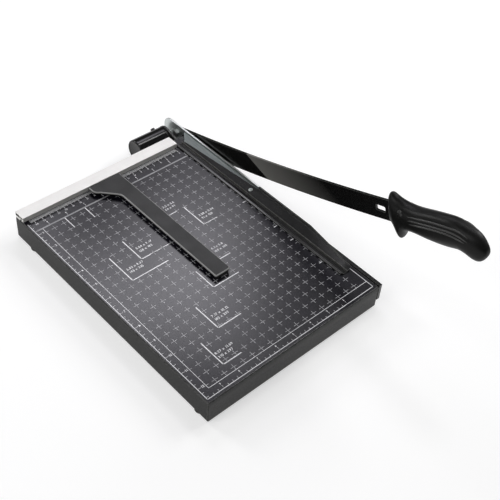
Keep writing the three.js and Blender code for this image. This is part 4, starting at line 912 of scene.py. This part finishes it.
PRESS_BACK, PRESS_FRONT, ARM_FRONT = 5.0, -286.0, -124.3
BAR_TOP, BAR_RIGHT, ARM_RIGHT, ARM_LEFT = 8.5, -1.5, -1.5, -4.0
TAPER_START, TAPER_END = -212.0, -270.0
WEB_LEFT, WEB_FOOT, WEB_SLOPE = -17.1, 2.9, (8.5 - 2.9) / 15.6
BAR_TOE = [(-27.2, -287), (-22.5, -287), (-22.5, PRESS_FRONT), (-26.2, PRESS_FRONT + 3),
           (-27.2, PRESS_FRONT + 3)]
BAR_POINT = [(-13.2, -287), (-4, -287), (-4, -279), (-5.2, -279), (-13.2, PRESS_FRONT)]
ARM_CLEARING = [(1, 6), (WEB_LEFT, 6), (-14.4, 0), (-9.3, -74.8), (-5.8, -124.6), (1, -124.6)]
BEAD = [(-26.1, 0.4), (-22.9, 0.4), (-22.9, 2.1), (-23.3, 2.5), (-25.7, 2.3), (-26.1, 1.9)]


def bar_section(right, top, hem):
    """Foot, step, web, pressed line and hem: the corners of the bar's section for one place along it."""
    slope = (top - WEB_FOOT) / (right - WEB_LEFT)
    line_left, line_right, hem_left = right - 3.9, right - 2.3, right - 1.7
    edge = WEB_FOOT + slope * (line_left - WEB_LEFT)
    under = edge - 1.3
    hem_foot = min(top - hem, under - 0.2)
    return [(-25, 1.5), (-17.7, 0.95), (WEB_LEFT, WEB_FOOT), (line_left, edge),
            (line_left + 0.3, edge - 0.6), (line_right, edge - 0.6), (line_right + 0.25, top),
            (right, top), (right, hem_foot), (hem_left, hem_foot), (hem_left, under),
            (line_left - 0.3, under), (WEB_LEFT + 1.2, WEB_FOOT + slope * 1.2 - 1.2), (-16.4, 0.3),
            (-25, 0.3)]


def press_bar():
    """A folded strip with a flat bead down its left edge and a toe that thins away to the front."""
    full, toe = bar_section(BAR_RIGHT, BAR_TOP, 3.8), bar_section(-5.2, 2.2, 1.6)
    tapered = {(round(x, 3), round(z, 3)): corner for (x, z), corner in zip(full, toe)}
    bm = fresh(plate, "Y", PRESS_FRONT, PRESS_BACK, full)
    for y in (TAPER_START, TAPER_END):
        everything = list(bm.verts) + list(bm.edges) + list(bm.faces)
        bmesh.ops.bisect_plane(bm, geom=everything, plane_co=(0, y, 0), plane_no=(0, 1, 0))
    for corner in bm.verts:
        if corner.co.y < TAPER_END + 1:
            corner.co.x, corner.co.z = tapered[(round(corner.co.x, 3), round(corner.co.z, 3))]
    soften(bm, 0.8, steps=3, angle=5,
           only=lambda e: all(abs(v.co.x - WEB_LEFT) < 0.01 and v.co.z > 2 for v in e.verts))
    soften(bm, 0.25, angle=20)
    bead = fresh(plate, "Y", PRESS_FRONT, PRESS_BACK, BEAD)
    soften(bead, 0.3, angle=20)
    for low, outline in ((-1, BAR_TOE), (-1, BAR_POINT), (1.5, ARM_CLEARING)):
        bm, bead = (worked(shape, fresh(plate, "Z", low, 12, outline)) for shape in (bm, bead))
    gather(bm, bead)
    finished(bm, "folded_press_bar", "press", [BAR_PAINT], ["press_bar"], sharp=30)


PRESS_EAR, ARM_BEND = 15.8, 12.0
STUD_Y, STUD_Z = PIVOT_Y - 9.5, PIVOT_Z + 9.5
ARM_WEB_LEFT, ARM_WEB_RIGHT, ARM_WEB_SHEET = -14.6, -2.75, 1.9


def press_arm():
    """Plated steel: an upright plate with the pivot's ear, and a sloping web folded out under the bar."""
    back = PIVOT_Y + PRESS_EAR
    outline = [(BED_BACK, 1.6), (24, -6.1), (PIVOT_Y - PRESS_EAR, PIVOT_Z)]
    outline += arc(PIVOT_Y, PIVOT_Z, PRESS_EAR, 180, 360, 24)[1:]
    outline += arc(back - ARM_BEND, BAR_TOP - ARM_BEND, ARM_BEND, 0, 90, 10)
    outline += [(ARM_FRONT, BAR_TOP), (ARM_FRONT, 1.6)]
    bore, stud = arc(PIVOT_Y, PIVOT_Z, SHAFT_BORE, 0, 345, 23), arc(STUD_Y, STUD_Z, 2.9, 0, 330, 11)
    bm = fresh(plate, "X", ARM_LEFT, ARM_RIGHT, outline, [bore, stud])
    soften(bm, 0.4, angle=30)
    bm.normal_update()
    # Painted highlight: the upward faces take the lighter copy of the nickel
    give_material(bm, 1, lambda middle, normal: normal.z > 0.5)
    left, right, sheet = ARM_WEB_LEFT, ARM_WEB_RIGHT, ARM_WEB_SHEET
    drop = 1.2 * math.sqrt(1 + WEB_SLOPE ** 2) + 0.2
    low, high = (WEB_FOOT + WEB_SLOPE * (x - WEB_LEFT) - drop for x in (left, right))
    web = fresh(plate, "Y", ARM_FRONT, 17, [(left, low), (right, high), (right, high - sheet),
                                            (left, low - sheet)])
    corner = fresh(plate, "Z", -10, 12, [(-3.4, 17.6), (-4, 17), (left, 3), (-16, 3), (-16, 18)])
    web = worked(web, corner)
    soften(web, 0.3, angle=30)
    # Painted shade: the whole sloping web takes the darker copy of the nickel
    give_material(web, 2, lambda middle, normal: True)
    gather(bm, web)
    finished(bm, "plated_press_arm", "press", [NICKEL, ARM_NICKEL_HIGHLIGHT, ARM_WEB_NICKEL_SHADE], ["press_arm"])


def press_rivet():
    """A domed rivet that stands square on the bar's web."""
    x = -11.8
    lean = Matrix.Rotation(-math.atan(WEB_SLOPE), 4, "Y")
    place = TO_ROW @ Matrix.Translation((x, -119, WEB_FOOT + WEB_SLOPE * (x - WEB_LEFT))) @ lean
    profile = [(0, -3.8), (2.2, -3.8), (2.6, -3.5), (2.6, -3.2), (1.5, -3.2), (1.5, 0), (2.5, 0)]
    bm = fresh(turned, profile + dome(2.6, 0.15, 1.05), "Z", (0, 0, 0), 32)
    finished(bm, "domed_press_rivet", "press", [NICKEL], ["press_rivet"], place, sharp=50)


def arm_stud():
    """A hex headed stud riveted through the arm."""
    bm = hex_work("X", ARM_LEFT, -8, (STUD_Y, STUD_Z), 5)
    turned(bm, [(0, -4.1), (2.6, -4.1), (2.6, -2.0), (2.2, -1.6), (0, -1.6)], "X", (0, STUD_Y, STUD_Z), 24)
    finished(bm, "hex_arm_stud", "press", [ZINC], ["arm_stud"])


# ---- Gauge ----

GAUGE_RIGHT, GAUGE_FRONT, GAUGE_BACK = -118.3, -203.5, 1.0
GAUGE_WIDTH, GAUGE_HEAD = 22.0, 45.2
SLIDER_FOOT, SLIDER_TOP, GAUGE_TOP = 0.3, 5.0, 7.0


def curve(start, control, end, steps=8):
    """Points on a bend from start to end that leans towards its control point, the start left out."""
    points = []
    for i in range(1, steps + 1):
        t = i / steps
        points.append(tuple((1 - t) ** 2 * a + 2 * t * (1 - t) * b + t ** 2 * c
                            for a, b, c in zip(start, control, end)))
    return points


def gauge_outline(inset, left_inset):
    """The gauge seen from above, drawn in from its outer size by one inset on the left, one elsewhere."""
    right, front = GAUGE_RIGHT - inset, GAUGE_FRONT + inset
    arm, head = GAUGE_RIGHT - GAUGE_WIDTH + left_inset, GAUGE_RIGHT - GAUGE_HEAD + left_inset
    shoulder, turn = (head, -5.5 + left_inset), (arm - 4, -28.5 + left_inset)
    points = [(right, GAUGE_BACK), (head, GAUGE_BACK), shoulder]
    points += curve(shoulder, (head, -11.5 + left_inset), (head + 6, -14.5 + left_inset))
    points += [turn] + curve(turn, (arm, -32.5 + left_inset), (arm, -36.5))
    points += [(arm, front + 1.5)] + curve((arm, front + 1.5), (arm, front), (arm + 1.5, front), 4)
    points += [(right - 4, front)] + curve((right - 4, front), (right, front), (right, front + 4), 6)
    return points


def gauge():
    """A top plate whose rounded rim is painted pale as a highlight, on a slider whose hooked tongue runs in
    the fence's slot.
    """
    bm = fresh(plate, "Z", SLIDER_TOP, GAUGE_TOP, gauge_outline(0, 0))
    soften(bm, 1.25, steps=4, angle=50, only=lambda e: all(v.co.z > GAUGE_TOP - 0.1 for v in e.verts) and
           not all(v.co.y > GAUGE_BACK - 0.1 for v in e.verts))
    # Painted highlight: the rounded rim's faces take the pale rim colour
    rim = bm.faces.layers.float[EDGE_MARK]
    for face in bm.faces:
        face.material_index = int(face[rim])
    finished(bm, "gauge_top", "gauge", [GAUGE_PLASTIC, GAUGE_RIM_HIGHLIGHT], ["gauge_plate"])
    bm = fresh(plate, "Z", SLIDER_FOOT, SLIDER_TOP, gauge_outline(0.8, 3))
    soften(bm, 0.3, steps=1, angle=50)
    hook = [(-1, SLIDER_FOOT), (8, SLIDER_FOOT), (8, 3.3), (5.6, 3.3), (5.6, 1.7), (-1, 1.7)]
    tongue = fresh(plate, "X", GAUGE_RIGHT - GAUGE_HEAD + 3, GAUGE_RIGHT - 3, hook)
    soften(tongue, 0.2, steps=1, angle=50)
    gather(bm, tongue)
    finished(bm, "moulded_slider", "gauge", [GAUGE_PLASTIC], ["gauge_slider"])
    for number, share in ((1, 0.12), (2, 0.82)):
        place = Matrix.Translation((GAUGE_RIGHT - 11, GAUGE_FRONT * share, 0.6))
        pan_screw(f"gauge_pan_screw_{number}", "gauge", f"gauge_screw_{number}", place, 3.3)


# ---- Bed markings ----

PRINT_LOW, PRINT_HIGH = -0.05, 0.03
INCH = 25.4
# Plain numbers beside the sheet marks: left end, foot line, words
CAPTIONS = [
    (-208, -281.8, "8.27 x 11.69"), (-208, -287.6, "210 x 297"), (-178, -241.6, "7.17 x 10.12"),
    (-178, -247.2, "182 x 257"), (-206, -131.2, "5.83 x 8.27"), (-206, -136.6, "148 x 210"),
    (-178, -111.2, "5.04 x 7.17"), (-178, -117, "128 x 182"), (-87, -113, "3.58 x 5.04"),
    (-87, -118.6, "91 x 128"), (-112, -76, "2.5 x 3.6"), (-112, -81.6, "64 x 91"),
    (-112, -164.4, "4.1 x 5.8"), (-112, -170, "105 x 148")]
CAPTION_WIDTH, CAPTION_HEIGHT, WORD_GAP, SIGN_GAP = 36.0, 3.0, 0.3, 0.1
# Sheet corners: the corner's x and y, then how far its two lines run back and to the right
SHEET_MARKS = [
    (-210, -296, -260.4, -185.6), (-182.4, -256.2, -219.6, -150.6), (-148.2, -209.2, -179, -111.6),
    (-210.4, -146.6, -103.6, -161), (-182.8, -126.8, -91.2, -139.4), (-91.6, -126.6, -90, -71.6),
    (-128, -89.6, -60, -102), (-128, -180.8, -150, -99)]
# The frame lines: from x and y, to x and y, width
FRAME_LINES = [
    (-250.6, -2.6, -250.6, -319.3, 0.75), (-251, -318.9, -9.6, -318.9, 0.75),
    (-10, -319.3, -10, -283, 0.75), (-240.8, -19, -240.8, -309.3, 0.55), (-241.1, -309, -10.4, -309, 0.55)]
MARK_WIDTH, GRID_WIDTH, CROSS_ARM = 1.2, 0.5, 3.9
# Rows of numbers: which, x of nought, step in x, y of nought, step in y, height
NUMBER_ROWS = [
    (range(3, 25), -1.4, -10, -9.0, 0, 2.2), (range(1, 10), -1.6, -INCH, -12.9, 0, 2.1),
    (range(1, 13), -244.0, 0, -0.3, -INCH, 2.9), (range(2, 10), 0, -INCH, -313.3, 0, 2.3)]


def strip(bm, x0, y0, x1, y1, width):
    """A printed line between two places, square to the bed's edges."""
    half = width / 2
    if abs(x1 - x0) >= abs(y1 - y0):
        block(bm, min(x0, x1), max(x0, x1), y0 - half, y0 + half, PRINT_LOW, PRINT_HIGH)
    else:
        block(bm, x0 - half, x0 + half, min(y0, y1), max(y0, y1), PRINT_LOW, PRINT_HIGH)


def under_caption(x, y):
    """Whether a grid cross at this place would touch a caption."""
    return any(left - 6 < x < left + CAPTION_WIDTH - 2 and foot - 4.5 < y < foot + 6.5
               for left, foot, _ in CAPTIONS)


def grid():
    """The half-inch crosses on the bed."""
    bm = bmesh.new()
    for row in range(2, 25):
        y = -0.1 - INCH / 2 * row
        for column in range(2, 19):
            x = -0.8 - INCH / 2 * column
            if not under_caption(x, y):
                strip(bm, x - CROSS_ARM, y, x + CROSS_ARM, y, GRID_WIDTH)
                strip(bm, x, y - CROSS_ARM, x, y + CROSS_ARM, GRID_WIDTH)
        strip(bm, -240.8, y, -237.6, y, GRID_WIDTH)
    finished(bm, "bed_grid", "base", [GRID_INK])


def rulings():
    """Frame lines, ruler ticks and sheet corners, and the pale band along the fence."""
    bm = bmesh.new()
    for line in FRAME_LINES:
        strip(bm, *line)
    for n in range(30, 245):
        foot = -5.8 if n % 10 == 0 else -3.6 if n % 5 == 0 else -2.6
        strip(bm, -n - 1.4, 3.5, -n - 1.4, foot, 0.5 if n % 5 == 0 else 0.45)
    for n in range(1, 10):
        strip(bm, -INCH * n - 1.6, -13.5, -INCH * n - 1.6, -16, 0.4)
    for n in range(1, 51):
        y = 1.1 - INCH / 4 * n
        reach = 4.5 if n % 4 == 0 else 3.5 if n % 2 == 0 else 2.7
        strip(bm, -250.6, y, -250.6 + reach, y, 0.35)
    for n in range(2, 10):
        strip(bm, -INCH * n, -314.5, -INCH * n, -318.5, 0.4)
    for n in range(8, 40):
        strip(bm, -INCH / 4 * n, -316, -INCH / 4 * n, -318.5, 0.3)
    for x, y, back, right in SHEET_MARKS:
        strip(bm, x, y - MARK_WIDTH / 2, x, back, MARK_WIDTH)
        strip(bm, x - MARK_WIDTH / 2, y, right, y, MARK_WIDTH)
    for y in (-126.6, -181, -209, -256):
        strip(bm, -31, y, -26.4, y, 1)
    for x in (-211, -183):
        strip(bm, x, -19, x, -39, 1)
    finished(bm, "bed_rulings", "base", [INK])
    band = fresh(block, -250.4, -26.4, -19, -17, PRINT_LOW, PRINT_HIGH)
    finished(band, "bed_band", "base", [BAND_INK])


def glyphs():
    """Each sign's printed shape, one unit high, drawn once, with its width."""
    shapes = {}
    for sign in "0123456789.x":
        words = bpy.data.curves.new("numeral", "FONT")
        words.body, words.size, words.resolution_u, words.offset = sign, 1, 3, 0.018
        drawn = shown("numeral", words)
        mesh = final_mesh(drawn)
        shapes[sign] = (mesh, max(v.co.x for v in mesh.vertices) + SIGN_GAP)
        bpy.data.objects.remove(drawn)
        bpy.data.curves.remove(words)
    return shapes


def write_number(bm, shapes, text, left, foot, height, centred=False):
    """Sets a number on the bed with its foot line and height given."""
    scale = height / 0.7
    widths = [(WORD_GAP if sign == " " else shapes[sign][1]) * scale for sign in text]
    at = left - (sum(widths) / 2 if centred else 0)
    for sign, width in zip(text, widths):
        if sign != " ":
            before = len(bm.verts)
            bm.from_mesh(shapes[sign][0])
            bm.verts.ensure_lookup_table()
            place = Matrix.Translation((at, foot, PRINT_HIGH)) @ Matrix.Scale(scale, 4)
            bmesh.ops.transform(bm, matrix=place, verts=bm.verts[before:])
        at += width


def numerals():
    """Ruler numbers and the plain numbers beside the sheet marks."""
    shapes = glyphs()
    bm = bmesh.new()
    for numbers, x, along, y, down, height in NUMBER_ROWS:
        for n in numbers:
            write_number(bm, shapes, str(n), x + along * n, y + down * n, height, True)
    for left, foot, text in CAPTIONS:
        write_number(bm, shapes, text, left, foot, CAPTION_HEIGHT)
    bmesh.ops.reverse_faces(bm, faces=[f for f in bm.faces if f.normal.z < 0])
    finished(bm, "bed_numerals", "base", [INK])


bed_tray()
ground_knife()
fence()
pivot_bracket()
bracket_fasteners()
bearings()
spring_housing()
housing_screw()
blade_arm()
handle_grip()
grip_ribs()
handle_rivet()
blade_bearing()
press_bar()
press_arm()
press_rivet()
arm_stud()
gauge()
base_screws()
grid()
rulings()
numerals()
for foot_name in ("foot_front_left", "foot_front_right", "foot_back_left", "foot_back_right"):
    foot(foot_name)


# ---- Plain finishes for the carried-over nodes ----

CARRIED = {
    "zinc": ZINC, "bed_paint": BED_PAINT, "steel_paint": BLACK_PAINT, "tool_steel": BLADE_BLACK,
    "anodised": ANODISED, "nickel": NICKEL, "black_plastic": GRIP_PLASTIC, "gauge_plastic": GAUGE_PLASTIC,
    "rubber": RUBBER, "bronze": BRONZE}


def dress_carried_nodes():
    slots = {part["node"]: part["material_slot"] for part in frame["record"]["subparts"]}
    for name, node in frame["nodes"].items():
        node.data.materials.clear()
        node.data.materials.append(CARRIED[slots[name]])


dress_carried_nodes()


# ---- Studio ----

FLOOR_HALF, FLOOR_GREY, FLOOR_GLOW = 6.0, (0.62, 0.62, 0.62, 1), 0.5
WHITE = (1, 1, 1, 1)


def studio():
    """A pale floor that shows white to the camera and to reflections, under an even white sky."""
    bm = bmesh.new()
    bmesh.ops.create_grid(bm, x_segments=1, y_segments=1, size=FLOOR_HALF)
    floor = shown("studio_floor", to_mesh(bm, "studio_floor"))
    material, tree, shader = new_material("studio_floor", Base_Color=FLOOR_GREY, Roughness=0.9,
                                          Specular_IOR_Level=0.1, Emission_Color=WHITE)
    path = add_node(tree, "ShaderNodeLightPath")
    seen = add_node(tree, "ShaderNodeMath", operation="MAXIMUM")
    through = add_node(tree, "ShaderNodeMath", operation="MAXIMUM")
    level = add_node(tree, "ShaderNodeMath", {1: FLOOR_GLOW}, operation="MULTIPLY")
    wire(tree, (path, "Is Camera Ray", seen, 0), (path, "Is Glossy Ray", seen, 1), (seen, 0, through, 0),
         (path, "Is Transmission Ray", through, 1), (through, 0, level, 0),
         (level, 0, shader, "Emission Strength"))
    floor.data.materials.append(material)
    world = bpy.data.worlds.new("studio")
    world.use_nodes = True
    world.node_tree.nodes["Background"].inputs["Color"].default_value = WHITE
    world.node_tree.nodes["Background"].inputs["Strength"].default_value = 0.1
    bpy.context.scene.world = world


def lamp(name, direction, distance, size, radiance, aim=(0, 0, 0.05), tint=(1, 1, 1)):
    """A square soft box at a distance and direction from a place on the object, facing it."""
    data = bpy.data.lights.new(name, "AREA")
    data.shape, data.size, data.color = "SQUARE", size, tint
    data.energy = radiance * math.pi * size * size
    box = shown(name, data)
    way = Vector(direction).normalized()
    box.location = Vector(aim) + way * distance
    box.rotation_euler = way.to_track_quat("Z", "Y").to_euler()


BED_MIDDLE = DATUM + Vector((-165, -180, 0)) * MM
BANK_DISTANCE, BANK_SIZE, BANK_TINT = 1.7, 0.3, (0.985, 0.97, 1.04)
# The bank of small soft boxes behind the cutter: turn from +Y towards +X, height, radiance
BANK = [(36, 48, 2.0), (42, 45, 2.7), (46, 50, 2.2), (26, 50, 3.6), (18, 42, 2.6), (38, 39, 0.5),
        (45, 38, 0.9)]


def bank():
    """The sheen on the bed is the bank's reflection, strongest left of the bed's middle."""
    for number, (turn, height, radiance) in enumerate(BANK):
        a, b = math.radians(turn), math.radians(height)
        way = (math.sin(a) * math.cos(b), math.cos(a) * math.cos(b), math.sin(b))
        lamp(f"bank_{number}", way, BANK_DISTANCE, BANK_SIZE, radiance, BED_MIDDLE, BANK_TINT)


CAMERA_PLACE, CAMERA_LENS = (-628.198, -720.176, 752.436), 67.875
CAMERA_AXES = ((0.737473, -0.672081, 0.066639), (0.439105, 0.552106, 0.708778),
               (-0.513148, -0.493443, 0.702277))


def camera():
    data = bpy.data.cameras.new("camera")
    data.sensor_width, data.lens, data.clip_end = 36, CAMERA_LENS, 20
    view = shown("camera", data)
    turn = Matrix(CAMERA_AXES).transposed().to_4x4()
    view.matrix_world = Matrix.Translation(DATUM + Vector(CAMERA_PLACE) * MM) @ turn
    bpy.context.scene.camera = view


studio()
bank()
lamp("key", (0.48, 0.16, 0.86), 2.0, 0.3, 12.0)
lamp("side", (0.9, -0.15, 0.62), 2.0, 0.8, 8.0)
lamp("left", (-0.8, 0.1, 0.6), 2.2, 1.2, 3.2)
lamp("grip_light", (-0.25, 0.84, 0.48), 2.0, 0.5, 12.0)
lamp("front_fill", (-0.25, -0.45, 0.86), 2.2, 1.4, 0.6)
camera()
bpy.context.scene.view_settings.view_transform = "Standard"
